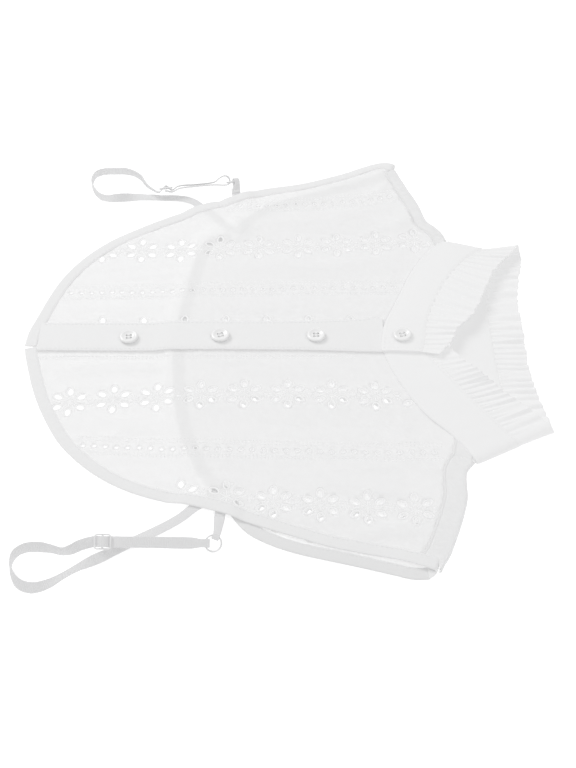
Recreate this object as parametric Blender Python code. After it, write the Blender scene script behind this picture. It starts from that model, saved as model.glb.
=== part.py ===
"""Detachable collar: a sheer cotton dickey with a ruffled stand collar, laid flat on its back.

Tables are in millimetres. X runs from the hem to the neck, Y from the wearer's left
side to the right side, and Z up from the surface the garment lies on.
"""
import math

import bmesh
import bpy
from mathutils import Vector, geometry

MM = 0.001

# Driving dimensions, in millimetres
WALL = 1.0
SEAM_GAP = 0.3
BINDING_WIDTH = 7.5
BINDING_WALL = 1.2
PLACKET_WALL = 1.2
PLACKET_LAP = 9.0
BAND_WALL = 1.4
RUFFLE_WALL = 1.0
BUTTON_DIAMETER = 11.5
STRAP_WIDTH = 6.0
STRAP_WALL = 1.0
RING_RADIUS = 4.4
WIRE_DIAMETER = 1.0
SLIDER_PITCH = 4.2
SLIDER_HALF_WIDTH = 3.85
SLIDER_CORNER = 1.8
BAR_DIAMETER = 0.9
RING_TAPE = 4.6
TAB_LEAN = 70.0
TAB_RISE = 2.1
TAB_RING_WIDTH = 4.0
TAB_WRAP = 1.75
NECK_GAP = 0.5
FLAP_NECK_GAP = 1.4
CORNER_GAP = 0.8
BAND_CROWN = 0.12

# Button outline turned about its axis. Columns: radius, height
BUTTON_PROFILE = (
    (4.4, 0.0),
    (5.5, 0.5),
    (5.75, 1.2),
    (5.5, 1.9),
    (4.8, 2.2),
    (4.1, 1.9),
    (3.4, 1.4),
)
BUTTON_SIDES = 12
RING_SIDES = 16
WIRE_SIDES = 6
TAPE_SPANS = 3
EDGE_STEP = 5.5
GRID_STEP = 7.5
GRID_SKIP = 3
GRID_BEND = 0.32
ROLL_STEPS = 4

# Colour and roughness of each kind of material
CLOTH_LOOK = ((0.95, 0.95, 0.95), 0.9)
TAPE_LOOK = ((0.90, 0.90, 0.90), 0.7)
BUTTON_LOOK = ((0.93, 0.93, 0.93), 0.3)
RING_LOOK = ((0.88, 0.88, 0.88), 0.35)
SLIDER_LOOK = ((0.90, 0.90, 0.90), 0.4)

# The fronts lie this much above the surface where the back is under them
FRONT_LIFT = 1.5
# The back rolls over the shoulder with this radius and runs this far onto each front
ROLL_RADIUS = 1.5
SHOULDER_WRAP = {1: 9.0, -1: 13.0}
# Length of the straight guide that continues each fold under the collar
FLAP_GUIDE = 36
# How far outside the back's edge a front comes down to the surface
DROP_START = 1.5
DROP_LENGTH = 9.0

# Where a front's foot ends under the placket, and the notch between its bindings
LAP_FOOT = -152.8
FOOT_NOTCH = 2.4
# Heights that the front and back bindings turn about over the shoulder
CREST_FRONT = 1.95
CREST_BACK = 1.65

# Cutwork: six petals round a centre, flowers at an even pitch along each stripe
FLOWER_PITCH = 26.0
PETAL_REACH = 8.1
PETAL_LENGTH = 5.6
PETAL_WIDTH = 3.8
FRONT_PETAL_CORNERS = 6
BACK_PETAL_CORNERS = 4
PETALS = 6
PETAL_MARGIN = 4.0

# Finished edge of each front from the placket's foot to the shoulder tip. Columns: x, y
RIGHT_EDGE = (
    (-163.2, -6.3),
    (-162.0, 6.0),
    (-158.4, 19.0),
    (-154.0, 35.0),
    (-148.0, 52.0),
    (-140.2, 66.5),
    (-130.5, 79.5),
    (-119.0, 91.0),
    (-103.5, 102.2),
    (-88.0, 112.0),
    (-72.0, 120.8),
    (-58.0, 128.0),
    (-44.0, 133.6),
    (-33.0, 139.5),
    (-19.0, 145.4),
    (9.0, 151.6),
    (33.0, 160.4),
    (57.0, 170.6),
    (68.0, 173.2),
    (75.0, 170.5),
)
LEFT_EDGE = (
    (-163.0, -6.0),
    (-162.0, -13.0),
    (-159.0, -24.0),
    (-152.6, -44.3),
    (-144.6, -63.0),
    (-132.2, -84.6),
    (-117.5, -100.5),
    (-102.7, -111.9),
    (-86.0, -120.6),
    (-68.0, -126.5),
    (-54.0, -129.6),
    (-42.5, -133.0),
    (-30.0, -138.2),
    (-5.0, -147.6),
    (10.2, -153.0),
    (22.5, -157.2),
    (39.0, -161.2),
    (56.0, -165.2),
    (69.0, -169.4),
    (76.4, -172.2),
)

# Finished edges of the back. Columns: x, y
BACK_HEM = (
    (-39.0, 99.0),
    (-48.5, 97.5),
    (-57.0, 89.0),
    (-62.0, 70.0),
    (-66.0, 43.0),
    (-69.5, 20.0),
    (-71.0, -6.0),
    (-69.6, -35.0),
    (-66.5, -59.0),
    (-61.5, -81.0),
    (-55.5, -96.5),
    (-49.0, -110.0),
    (-37.5, -123.5),
)
# Where the back's cloth turns inside its bindings at the two lower corners. Columns: x, y
BACK_CORNERS = ((-33.8, 91.2), (-30.4, -118.9))
BACK_RIGHT_ARM = (
    (-39.0, 99.0),
    (-31.0, 112.0),
    (-19.0, 124.5),
    (2.0, 136.0),
    (19.0, 142.5),
    (38.0, 150.0),
    (56.0, 158.5),
    (71.0, 166.5),
)
BACK_LEFT_ARM = (
    (-37.5, -123.5),
    (-32.0, -134.5),
    (-23.0, -146.6),
    (-10.8, -154.4),
    (3.7, -160.2),
    (19.7, -164.6),
    (38.6, -169.4),
    (56.9, -174.4),
    (66.0, -176.8),
    (73.6, -176.8),
)

# Where the garment folds at the shoulder, from the neck to the tip. Columns: x, y
RIGHT_SHOULDER = (
    (106.4, 89.0),
    (104.8, 95.5),
    (100.6, 102.5),
    (95.0, 109.0),
    (92.6, 117.0),
    (91.1, 123.9),
    (88.2, 133.0),
    (84.7, 141.8),
    (80.8, 153.0),
    (76.9, 163.6),
    (74.4, 168.6),
)
LEFT_SHOULDER = (
    (105.8, -101.0),
    (101.4, -107.0),
    (100.4, -115.0),
    (99.9, -125.0),
    (97.6, -134.0),
    (94.5, -143.6),
    (90.6, -154.0),
    (86.1, -164.7),
    (80.6, -172.4),
)

# Placket edges. Columns: x, lower y, upper y
PLACKET_EDGES = (
    (-153.6, -11.7, 12.0),
    (-130.0, -12.0, 12.3),
    (-80.0, -12.2, 12.2),
    (-20.0, -12.4, 12.0),
    (20.0, -13.2, 12.6),
    (45.0, -14.2, 14.2),
    (56.2, -14.6, 15.6),
)
PLACKET_BUTTON_X = (-98.7, -41.9, 17.4)
PLACKET_BUTTON_Y = -1.8
BAND_BUTTON = (70.9, -3.4)

# Collar ring, from the lapping right end round the back of the neck to the left end.
# Columns: neck seam x, y, z; ruffle seam x, y, z; ruffle's free edge x, y, z; wave height
COLLAR = (
    (57.2, -14.4, 4.4, 82.0, -17.0, 6.1, 92.0, -20.5, 7.6, 0.4),
    (57.8, -5.0, 4.3, 84.6, -7.0, 5.9, 100.5, -9.0, 7.9, 1.0),
    (60.6, 9.8, 4.1, 86.6, 7.0, 6.2, 105.5, 2.0, 8.4, 1.4),
    (64.6, 19.8, 3.4, 90.0, 18.5, 6.6, 112.5, 9.0, 8.8, 1.6),
    (71.6, 37.0, 2.9, 96.6, 35.5, 6.7, 119.5, 20.5, 8.8, 1.6),
    (78.4, 53.6, 2.9, 102.6, 47.5, 6.6, 124.5, 32.5, 8.7, 1.6),
    (87.0, 69.5, 3.2, 109.2, 57.5, 6.4, 129.0, 44.0, 8.6, 1.6),
    (96.0, 81.0, 3.6, 116.0, 66.0, 6.2, 136.0, 58.0, 8.4, 1.5),
    (102.0, 86.0, 3.8, 124.5, 74.5, 5.8, 146.5, 70.5, 8.0, 0.9),
    (105.9, 86.6, 3.7, 129.2, 77.4, 5.4, 151.6, 78.2, 7.6, 0.3),
    (107.4, 86.4, 2.3, 131.2, 78.4, 3.2, 153.4, 81.8, 4.9, 0.1),
    (106.6, 84.4, 0.9, 131.4, 75.6, 1.0, 153.9, 78.2, 2.4, 0.3),
    (104.2, 79.0, 0.9, 131.0, 69.5, 1.0, 154.0, 70.0, 2.4, 0.9),
    (101.6, 62.0, 0.8, 129.6, 52.0, 0.9, 150.2, 52.0, 2.3, 1.5),
    (100.6, 35.0, 0.8, 127.8, 30.0, 0.9, 146.6, 30.0, 2.3, 1.6),
    (100.5, 5.0, 0.8, 127.0, 4.0, 0.9, 146.8, 4.0, 2.3, 1.6),
    (100.5, -25.0, 0.8, 127.2, -22.0, 0.9, 146.0, -22.0, 2.3, 1.6),
    (101.2, -55.0, 0.8, 128.8, -46.0, 0.9, 148.0, -46.0, 2.3, 1.6),
    (102.2, -78.0, 0.8, 131.0, -66.0, 0.9, 151.0, -62.0, 2.3, 1.3),
    (104.4, -92.0, 0.9, 132.6, -78.0, 1.0, 152.8, -69.0, 2.4, 0.9),
    (106.6, -98.9, 0.9, 133.0, -85.6, 1.0, 153.2, -77.0, 2.4, 0.3),
    (107.3, -100.5, 2.3, 133.6, -87.6, 3.2, 153.4, -79.6, 4.7, 0.1),
    (106.2, -99.2, 3.7, 132.2, -86.4, 5.2, 152.2, -78.2, 7.2, 0.3),
    (101.4, -90.6, 3.8, 126.4, -79.6, 5.7, 147.0, -71.6, 7.8, 0.9),
    (93.4, -79.4, 3.6, 118.5, -68.5, 6.2, 138.7, -61.6, 8.2, 1.5),
    (82.6, -67.0, 3.2, 111.0, -58.5, 6.4, 130.5, -54.0, 8.3, 1.6),
    (74.0, -53.0, 2.8, 104.0, -48.0, 6.3, 122.5, -43.5, 8.2, 1.6),
    (66.6, -38.0, 2.7, 97.4, -37.0, 6.0, 115.0, -33.5, 8.0, 1.6),
    (60.8, -22.0, 2.6, 90.6, -26.0, 4.6, 107.6, -24.5, 6.4, 1.3),
    (57.9, -8.0, 2.4, 85.4, -12.0, 3.5, 100.0, -12.0, 4.6, 0.6),
    (57.4, 6.0, 2.4, 84.0, 4.0, 3.4, 92.0, 4.0, 4.0, 0.3),
)
RIGHT_FOLD_ROW = 10
LEFT_FOLD_ROW = 21
COLLAR_SPANS = 3
RUFFLE_STEPS = 4
RUFFLE_WAVES = 62
WAVE_DRIFT = 1.3
WAVE_DRIFT_TURNS = 7.0
GATHER_START = 0.25

# Flower stripes: y where x is 0, slope, bow, x of one flower. Columns: y, slope, bow, phase
RIGHT_FLOWERS = (
    (7.3, 0.0, 0.0, 13.0),
    (83.6, 0.045, 0.0002, 6.7),
)
LEFT_FLOWERS = (
    (-47.6, -0.012, -0.0004, 0.0),
    (-128.0, -0.085, 0.0002, 18.0),
)
BACK_FLOWERS = (
    (100.0, 0.04, 0.0, 4.0),
    (20.5, 0.02, 0.0, 14.0),
    (-60.0, -0.01, 0.0, 6.0),
    (-141.0, -0.09, 0.0, 12.0),
)
FLOWER_REACH_X = (-130.0, 100.0)

# Largest folds of the fronts. Columns: x and y of one end, x and y of the other, width, height
RIGHT_FOLDS = (
    (-150.0, 30.0, -90.0, 22.0, 11.0, 0.9),
    (-60.0, 66.0, 55.0, 60.0, 12.0, 0.8),
    (20.0, 112.0, 78.0, 128.0, 12.0, 1.3),
    (70.0, 100.0, 90.0, 118.0, 8.0, 1.2),
    (-120.0, 84.0, -60.0, 104.0, 12.0, 0.8),
)
LEFT_FOLDS = (
    (-150.0, -26.0, -62.0, -24.5, 7.0, 1.1),
    (-40.0, -28.0, 44.0, -30.0, 9.0, 0.9),
    (0.0, -112.0, 74.0, -116.0, 12.0, 1.2),
    (30.0, -150.0, 76.0, -146.0, 9.0, 1.4),
    (-110.0, -70.0, -60.0, -76.0, 12.0, 0.9),
    (58.0, -70.0, 78.0, -96.0, 9.0, 1.2),
)
SHOULDER_RISE = 1.5
SHOULDER_RAMP = 26.0

# Hidden end of each strap, from the back's corner to the hem. Columns: x, y
STRAP_HIDDEN_LEFT = ((-39.5, -121.0), (-45.0, -125.6), (-52.0, -130.4))
STRAP_HIDDEN_RIGHT = ((-38.0, 100.5), (-44.8, 109.6), (-52.0, 118.2), (-60.0, 126.0))
STRAP_LIFT = 1.7
STRAP_BUMP = 6.5
STRAP_BUMP_RAMP = 9.0

# Free run of each strap from the hem round the loop to the slider.
# Columns: x, y, z of the middle, then the x, y, z direction of the width
STRAP_LOOP_LEFT = (
    (-58.4, -136.8, 1.0, -0.62, 0.78, 0.0),
    (-65.6, -142.2, 1.0, -0.55, 0.83, 0.0),
    (-73.8, -147.3, 1.0, -0.5, 0.86, 0.0),
    (-83.0, -152.6, 1.0, -0.5, 0.86, 0.0),
    (-91.0, -157.6, 1.0, -0.5, 0.86, 0.05),
    (-97.0, -161.4, 1.2, -0.5, 0.84, 0.2),
    (-103.2, -165.7, 2.3, -0.35, 0.55, 0.7),
    (-110.6, -170.7, 3.2, -0.05, 0.1, 1.0),
    (-117.7, -175.8, 3.3, 0.0, 0.0, 1.0),
    (-125.5, -181.0, 3.1, 0.0, 0.45, 0.9),
    (-133.7, -183.0, 2.7, 0.0, 0.7, 0.7),
    (-140.9, -180.4, 2.9, 0.2, 0.55, 0.8),
    (-145.6, -173.5, 3.3, 0.2, 0.1, 1.0),
    (-146.7, -168.1, 3.3, 0.0, 0.0, 1.0),
    (-145.5, -162.5, 3.3, -0.2, 0.2, 1.0),
    (-141.0, -158.6, 3.1, -0.1, 0.45, 0.9),
    (-133.3, -157.6, 2.9, 0.0, 0.55, 0.85),
    (-126.0, -159.1, 3.2, 0.0, 0.3, 0.95),
    (-119.8, -160.9, 3.5, 0.0, 0.2, 1.0),
    (-115.4, -160.2, 4.3, 0.0, 0.5, 0.85),
    (-111.0, -158.2, 5.2, 0.0, 0.75, 0.65),
)
STRAP_LOOP_RIGHT = (
    (-65.1, 131.6, 0.8, 0.6, 0.8, 0.0),
    (-71.1, 134.6, 0.8, 0.3, 0.95, 0.0),
    (-77.1, 136.0, 0.7, 0.1, 1.0, 0.0),
    (-85.9, 136.3, 0.7, 0.0, 1.0, 0.0),
    (-96.2, 136.9, 0.8, 0.0, 1.0, 0.0),
    (-105.0, 136.8, 1.1, 0.0, 0.97, 0.2),
    (-112.2, 135.4, 1.9, 0.0, 0.8, 0.6),
    (-119.2, 133.8, 2.8, 0.0, 0.4, 0.9),
    (-124.9, 132.8, 3.2, 0.0, 0.0, 1.0),
    (-130.2, 134.8, 3.3, 0.0, 0.0, 1.0),
    (-134.9, 140.6, 3.3, 0.0, 0.0, 1.0),
    (-137.4, 147.5, 3.3, 0.0, 0.0, 1.0),
    (-137.7, 153.4, 3.3, 0.0, 0.0, 1.0),
    (-135.7, 159.3, 3.3, 0.0, 0.0, 1.0),
    (-130.8, 162.2, 3.3, 0.0, 0.0, 1.0),
    (-123.4, 162.8, 3.3, 0.0, 0.0, 1.0),
    (-114.3, 162.2, 3.5, 0.0, 0.0, 1.0),
    (-108.6, 158.8, 4.2, 0.0, -0.1, 1.0),
    (-103.4, 153.2, 5.0, 0.1, -0.25, 1.0),
    (-100.4, 147.4, 5.5, 0.1, -0.45, 0.9),
    (-96.6, 141.8, 5.7, 0.14, -0.62, 0.72),
)
# Slider and ring of each strap. Columns: x, y, z
SLIDER_LEFT = (-98.8, -157.2, 7.2)
SLIDER_RIGHT = (-85.0, 139.4, 6.8)
RING_LEFT = (-40.0, -155.8, 3.6)
RING_RIGHT = (-38.6, 149.4, 4.4)
# Tilt of the strap's width from the surface between slider and ring, in degrees
STRAP_TILT = {1: 44.0, -1: 34.0}
# Round each ring. Columns: distance from the turn's end, offset off the strap's face
RING_COURSE = {
    1: ((-14.0, 0.75), (-10.5, 1.3), (-7.5, 3.2), (-4.2, 4.7), (-1.6, 4.3), (-0.2, 2.6), (0.0, 0.8),
        (-0.45, -0.9), (-1.7, -1.55), (-5.0, -1.6), (-9.0, -1.1), (-14.0, -0.75)),
    -1: ((-9.0, 0.7), (-4.5, 1.3), (-1.45, 1.45), (-0.42, 1.03), (0.0, 0.0), (-0.42, -1.03),
         (-1.45, -1.45), (-4.5, -1.3), (-9.0, -0.7)),
}
# Tab from under the front to the ring. Columns: x, y
TAB_LEFT = ((-36.6, -130.4), (-37.4, -136.4))
TAB_RIGHT = ((-34.8, 131.6), (-36.2, 139.2))


def smooth(points, spans):
    """Centripetal Catmull-Rom curve through points of any dimension."""
    rows = [tuple(float(c) for c in p) for p in points]
    first = tuple(2 * a - b for a, b in zip(rows[0], rows[1]))
    last = tuple(2 * a - b for a, b in zip(rows[-1], rows[-2]))
    rows = [first] + rows + [last]

    def knot(start, a, b):
        gap = math.sqrt(sum((p - q) ** 2 for p, q in zip(a[:3], b[:3])))
        return start + max(math.sqrt(gap), 1e-6)

    def mix(a, b, ta, tb, t):
        share = (t - ta) / (tb - ta)
        return tuple(p + (q - p) * share for p, q in zip(a, b))

    out = []
    for i in range(len(rows) - 3):
        p0, p1, p2, p3 = rows[i:i + 4]
        t0 = 0.0
        t1 = knot(t0, p0, p1)
        t2 = knot(t1, p1, p2)
        t3 = knot(t2, p2, p3)
        for k in range(spans):
            t = t1 + (t2 - t1) * k / spans
            a1 = mix(p0, p1, t0, t1, t)
            a2 = mix(p1, p2, t1, t2, t)
            a3 = mix(p2, p3, t2, t3, t)
            b1 = mix(a1, a2, t0, t2, t)
            b2 = mix(a2, a3, t1, t3, t)
            out.append(mix(b1, b2, t1, t2, t))
    out.append(rows[-2])
    return out


def inset(points, distance):
    """The plane curve moved to its left by distance, or to its right if it is negative."""
    out = []
    for i, (x, y) in enumerate(points):
        ax, ay = points[max(i - 1, 0)]
        bx, by = points[min(i + 1, len(points) - 1)]
        length = math.hypot(bx - ax, by - ay)
        out.append((x - (by - ay) / length * distance, y + (bx - ax) / length * distance))
    return out


def thin(points, step):
    """Keep points of a dense curve about step apart, and both of its ends."""
    out = [points[0]]
    for p in points[1:-1]:
        far_enough = math.dist(p, out[-1]) >= step
        if far_enough and math.dist(p, points[-1]) >= step * 0.6:
            out.append(p)
    out.append(points[-1])
    return out


def fade(value):
    """Smooth step from 0 to 1."""
    value = min(max(value, 0.0), 1.0)
    return value * value * (3 - 2 * value)


def inside(x, y, polygon):
    """Whether a point lies in a closed plane polygon."""
    hit = False
    for (ax, ay), (bx, by) in zip(polygon, polygon[1:] + polygon[:1]):
        if (ay > y) != (by > y) and x < ax + (y - ay) / (by - ay) * (bx - ax):
            hit = not hit
    return hit


def nearest(x, y, line):
    """Distance to a polyline, the foot on it, and the line's direction there."""
    best = None
    for (ax, ay), (bx, by) in zip(line, line[1:]):
        dx, dy = bx - ax, by - ay
        length2 = dx * dx + dy * dy
        share = min(max(((x - ax) * dx + (y - ay) * dy) / length2, 0.0), 1.0)
        fx, fy = ax + dx * share, ay + dy * share
        gap = math.hypot(x - fx, y - fy)
        if best is None or gap < best[0]:
            length = math.sqrt(length2)
            best = (gap, (fx, fy), (dx / length, dy / length))
    return best


right_edge = smooth(RIGHT_EDGE, 6)
left_edge = smooth(LEFT_EDGE, 6)
back_hem = smooth(BACK_HEM, 6)
back_right_arm = smooth(BACK_RIGHT_ARM, 6)
back_left_arm = smooth(BACK_LEFT_ARM, 6)
right_shoulder = smooth(RIGHT_SHOULDER, 5)
left_shoulder = smooth(LEFT_SHOULDER, 5)
collar_rows = smooth(COLLAR, COLLAR_SPANS)
back_outline = (back_right_arm + right_shoulder[::-1] + left_shoulder
                + back_left_arm[::-1] + back_hem[-2:0:-1])
binding_margin = BINDING_WIDTH + SEAM_GAP
roll_inset = ROLL_RADIUS + WALL / 2


def clip_outline(points, test):
    """Points of a curve for which test holds."""
    return [p for p in points if test(*p)]


def fold_line(shoulder, edge, arm, side):
    """Line where the back starts to roll over one shoulder, ending short of the bindings."""
    line = inset(shoulder, side * roll_inset)
    return clip_outline(line, lambda x, y:
                        nearest(x, y, edge)[0] > binding_margin + SEAM_GAP
                        and nearest(x, y, arm)[0] > binding_margin + SEAM_GAP)


def extend(line, length):
    """The line with a straight run of points added before its start."""
    ax, ay = line[0]
    bx, by = line[len(line) // 2]
    span = math.dist(line[0], (bx, by))
    ux, uy = (ax - bx) / span, (ay - by) / span
    return [(ax + ux * k, ay + uy * k) for k in range(length, 0, -2)] + line


right_fold = fold_line(right_shoulder, right_edge, back_right_arm, 1)
left_fold = fold_line(left_shoulder, left_edge, back_left_arm, -1)
right_guide = extend(right_fold, FLAP_GUIDE)
left_guide = extend(left_fold, FLAP_GUIDE)


def rise_near(x, y, line, reach, ramp):
    """1 on a line and out to reach, fading to 0 over ramp beyond it."""
    gap = nearest(x, y, line)[0]
    return 1.0 - fade((gap - reach) / ramp)


def fold_height(x, y, folds):
    """Height that the listed folds add at a point."""
    height = 0.0
    for x0, y0, x1, y1, width, top in folds:
        length = math.hypot(x1 - x0, y1 - y0)
        along = ((x - x0) * (x1 - x0) + (y - y0) * (y1 - y0)) / length
        across = ((x - x0) * (y1 - y0) - (y - y0) * (x1 - x0)) / length
        ends = fade(along / (0.3 * length)) * fade((length - along) / (0.3 * length))
        height += top * ends * math.exp(-(across / (0.5 * width)) ** 2)
    return height


def front_level(x, y):
    """Underside of the fronts above the surface, in millimetres."""
    if inside(x, y, back_outline):
        level = FRONT_LIFT
    else:
        gap = nearest(x, y, back_outline + back_outline[:1])[0]
        level = FRONT_LIFT * (1.0 - fade((gap - DROP_START) / DROP_LENGTH))
    if x < 10:
        hidden = STRAP_HIDDEN_RIGHT if y > 0 else STRAP_HIDDEN_LEFT
        tab = TAB_RIGHT if y > 0 else TAB_LEFT
        lift = max(rise_near(x, y, line, STRAP_BUMP, STRAP_BUMP_RAMP) for line in (hidden, tab))
        level += STRAP_LIFT * lift
    else:
        shoulder = right_shoulder if y > 0 else left_shoulder
        gap = nearest(x, y, shoulder)[0]
        reach = SHOULDER_WRAP[1 if y > 0 else -1]
        level += SHOULDER_RISE * (1.0 - fade((gap - reach) / SHOULDER_RAMP))
    folds = RIGHT_FOLDS if y > 0 else LEFT_FOLDS
    return level + fold_height(x, y, folds)


def lay_front(x, y):
    """Middle of a front's wall and its upward direction."""
    return Vector((x, y, front_level(x, y) + WALL / 2)), Vector((0, 0, 1))


rolled = {}


def roll(foot, out, beyond):
    """Flat point of the back a distance beyond a shoulder fold, its real place kept in rolled."""
    turn = min(beyond / ROLL_RADIUS, math.pi)
    flat = max(beyond - math.pi * ROLL_RADIUS, 0.0)
    middle = Vector((foot[0], foot[1], WALL / 2)) + out * (ROLL_RADIUS * math.sin(turn) - flat)
    middle.z += ROLL_RADIUS * (1 - math.cos(turn))
    point = (foot[0] + out.x * beyond, foot[1] + out.y * beyond)
    rolled[point] = (middle, Vector((0, 0, math.cos(turn))) - out * math.sin(turn))
    return point


def lay_back(x, y):
    """Middle of the back's wall and its upward direction."""
    return rolled.get((x, y), (Vector((x, y, WALL / 2)), Vector((0, 0, 1))))


def new_material(name, colour, roughness):
    """A plain Principled material."""
    material = bpy.data.materials.new(name)
    material.use_nodes = True
    shader = material.node_tree.nodes["Principled BSDF"]
    shader.inputs["Base Color"].default_value = (*colour, 1.0)
    shader.inputs["Roughness"].default_value = roughness
    shader.inputs["Metallic"].default_value = 0.0
    return material


def add_object(name, points, faces, look):
    """A closed object from points in millimetres, its faces turned outward."""
    mesh = bpy.data.meshes.new(name)
    mesh.from_pydata([Vector(p) * MM for p in points], [], faces)
    work = bmesh.new()
    work.from_mesh(mesh)
    bmesh.ops.triangulate(work, faces=work.faces)
    bmesh.ops.recalc_face_normals(work, faces=work.faces)
    work.to_mesh(mesh)
    work.free()
    mesh.shade_smooth()
    mesh.set_sharp_from_angle(angle=math.radians(40))
    mesh.materials.append(new_material(name, *look))
    obj = bpy.data.objects.new(name, mesh)
    bpy.context.collection.objects.link(obj)
    return obj


def petal(x, y, angle, corners):
    """Outline of one petal hole whose length points along angle."""
    points = []
    for corner in range(corners):
        turn = 2 * math.pi * corner / corners
        along = PETAL_LENGTH / 2 * math.cos(turn)
        across = PETAL_WIDTH / 2 * math.sin(turn)
        points.append((x + along * math.cos(angle) - across * math.sin(angle),
                       y + along * math.sin(angle) + across * math.cos(angle)))
    return points


def petal_holes(stripes, outline, corners):
    """Petal holes of each flower stripe that lie wholly inside the outline."""
    border = outline + outline[:1]
    low, high = FLOWER_REACH_X
    holes = []
    for y0, slope, bow, phase in stripes:
        cx = phase + math.ceil((low - phase) / FLOWER_PITCH) * FLOWER_PITCH
        while cx < high:
            cy = y0 + slope * cx + bow * cx * cx
            for k in range(PETALS):
                angle = math.radians(90 + k * 360 / PETALS)
                px = cx + PETAL_REACH * math.cos(angle)
                py = cy + PETAL_REACH * math.sin(angle)
                if inside(px, py, outline) and nearest(px, py, border)[0] > PETAL_MARGIN:
                    holes.append(petal(px, py, angle, corners))
            cx += FLOWER_PITCH
    return holes


def inner_points(outline, holes, taken, level):
    """Points inside an outline, close together only where the cloth bends."""
    xs = [p[0] for p in outline]
    ys = [p[1] for p in outline]
    border = outline + outline[:1]
    centres = [(sum(p[0] for p in h) / len(h), sum(p[1] for p in h) / len(h)) for h in holes]
    points = []
    for row in range(int((max(ys) - min(ys)) / GRID_STEP) + 1):
        for column in range(int((max(xs) - min(xs)) / GRID_STEP) + 1):
            x = min(xs) + (column + 0.5 * (row % 2)) * GRID_STEP
            y = min(ys) + row * GRID_STEP
            if not inside(x, y, outline) or nearest(x, y, border)[0] < GRID_STEP * 0.5:
                continue
            if any(math.dist((x, y), c) < PETAL_LENGTH for c in centres):
                continue
            if any(math.dist((x, y), c) < GRID_STEP * 0.5 for c in taken):
                continue
            z = level(x, y)
            bend_x = level(x - GRID_STEP, y) + level(x + GRID_STEP, y) - 2 * z
            bend_y = level(x, y - GRID_STEP) + level(x, y + GRID_STEP) - 2 * z
            coarse = row % GRID_SKIP == 0 and column % GRID_SKIP == 0
            if coarse or max(abs(bend_x), abs(bend_y)) > GRID_BEND:
                points.append((x, y))
    return points


def counterclockwise(points):
    """The outline in counterclockwise order."""
    area = sum(ax * by - bx * ay for (ax, ay), (bx, by) in zip(points, points[1:] + points[:1]))
    return points if area > 0 else points[::-1]


def cut_sheet(name, outline, holes, inner, lay, wall, look):
    """A wall of cloth: its cut outline with holes, laid in space by the function lay."""
    given = list(counterclockwise(outline))
    loops = [list(range(len(outline)))]
    for hole in holes:
        loops.append(list(range(len(given), len(given) + len(hole))))
        given += hole
    given += inner
    flat = [Vector(p) for p in given]
    verts, _, faces, sources, _, owners = geometry.delaunay_2d_cdt(flat, [], loops, 1, 1e-5)
    faces = [face for face, owner in zip(faces, owners) if list(owner) == [0]]
    used = sorted({i for face in faces for i in face})
    place = {old: new for new, old in enumerate(used)}
    faces = [tuple(place[i] for i in face) for face in faces]
    top = []
    bottom = []
    for i in used:
        middle, normal = lay(*(given[sources[i][0]] if sources[i] else verts[i]))
        top.append(middle + normal * (wall / 2))
        bottom.append(middle - normal * (wall / 2))
    edges = {(a, b) for face in faces for a, b in zip(face, face[1:] + face[:1])}
    rim = [(a, b) for a, b in edges if (b, a) not in edges]
    count = len(used)
    solid = list(faces)
    solid += [tuple(i + count for i in reversed(face)) for face in faces]
    solid += [(b, a, a + count, b + count) for a, b in rim]
    return add_object(name, top + bottom, solid, look)


def bar(name, sections, look):
    """A closed bar through sections, each a loop of the same number of points."""
    size = len(sections[0])
    points = [p for section in sections for p in section]
    faces = [tuple(range(size)), tuple(range(len(points) - size, len(points)))]
    for i in range(len(sections) - 1):
        for k in range(size):
            a = i * size + k
            b = i * size + (k + 1) % size
            faces.append((a, b, b + size, a + size))
    return add_object(name, points, faces, look)


def off_surface(section):
    """The section, lifted where it would reach below the surface that the garment lies on."""
    lift = Vector((0, 0, max(0.0, -min(p.z for p in section))))
    return tuple(p + lift for p in section)


def collar_front(side):
    """Neck seam of the band over one front, from the placket to the shoulder."""
    if side > 0:
        rows = collar_rows[:RIGHT_FOLD_ROW * COLLAR_SPANS + 1]
    else:
        rows = collar_rows[LEFT_FOLD_ROW * COLLAR_SPANS:][::-1]
    return [(row[0], row[1]) for row in rows]


def beside(x, y, line, side):
    """Signed distance from the line, positive on a front's side of its neck seam."""
    gap, (fx, fy), (dx, dy) = nearest(x, y, line)
    return math.copysign(gap, (dx * (y - fy) - dy * (x - fx)) * side)


def outward(x, y, line, side):
    """Foot of a point on a shoulder guide and the direction out of the garment there."""
    _, foot, (dx, dy) = nearest(x, y, line)
    return foot, Vector((dy * side, -dx * side, 0))


def front_outline(side):
    """Cut outline of one front inside its binding, shoulder seam, neck seam and lap."""
    edge = right_edge if side > 0 else left_edge
    guide = right_guide if side > 0 else left_guide
    width = SHOULDER_WRAP[side] - roll_inset
    lap = PLACKET_LAP if side > 0 else PLACKET_LAP - SEAM_GAP
    neck = inset(collar_front(side), side * NECK_GAP)
    hem = clip_outline(inset(edge, -side * binding_margin), lambda x, y:
                       (y - lap) * side > 2.0 and nearest(x, y, guide)[0] > width + 1.0)
    seam = clip_outline(inset(guide, side * width), lambda x, y:
                        nearest(x, y, edge)[0] > binding_margin + SEAM_GAP
                        and beside(x, y, neck, side) > 1.0)
    neck = clip_outline(neck, lambda x, y:
                        (y - lap) * side > 2.0 and nearest(x, y, guide)[0] > width + 1.0)
    head = neck[0][0] - 0.4
    count = int((head - LAP_FOOT) / GRID_STEP)
    lap_line = [(LAP_FOOT + (head - LAP_FOOT) * k / count, lap) for k in range(count + 1)]
    outline = lap_line + thin(neck, EDGE_STEP) + thin(seam, EDGE_STEP)
    return outline + thin(hem[::-1], EDGE_STEP)


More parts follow.
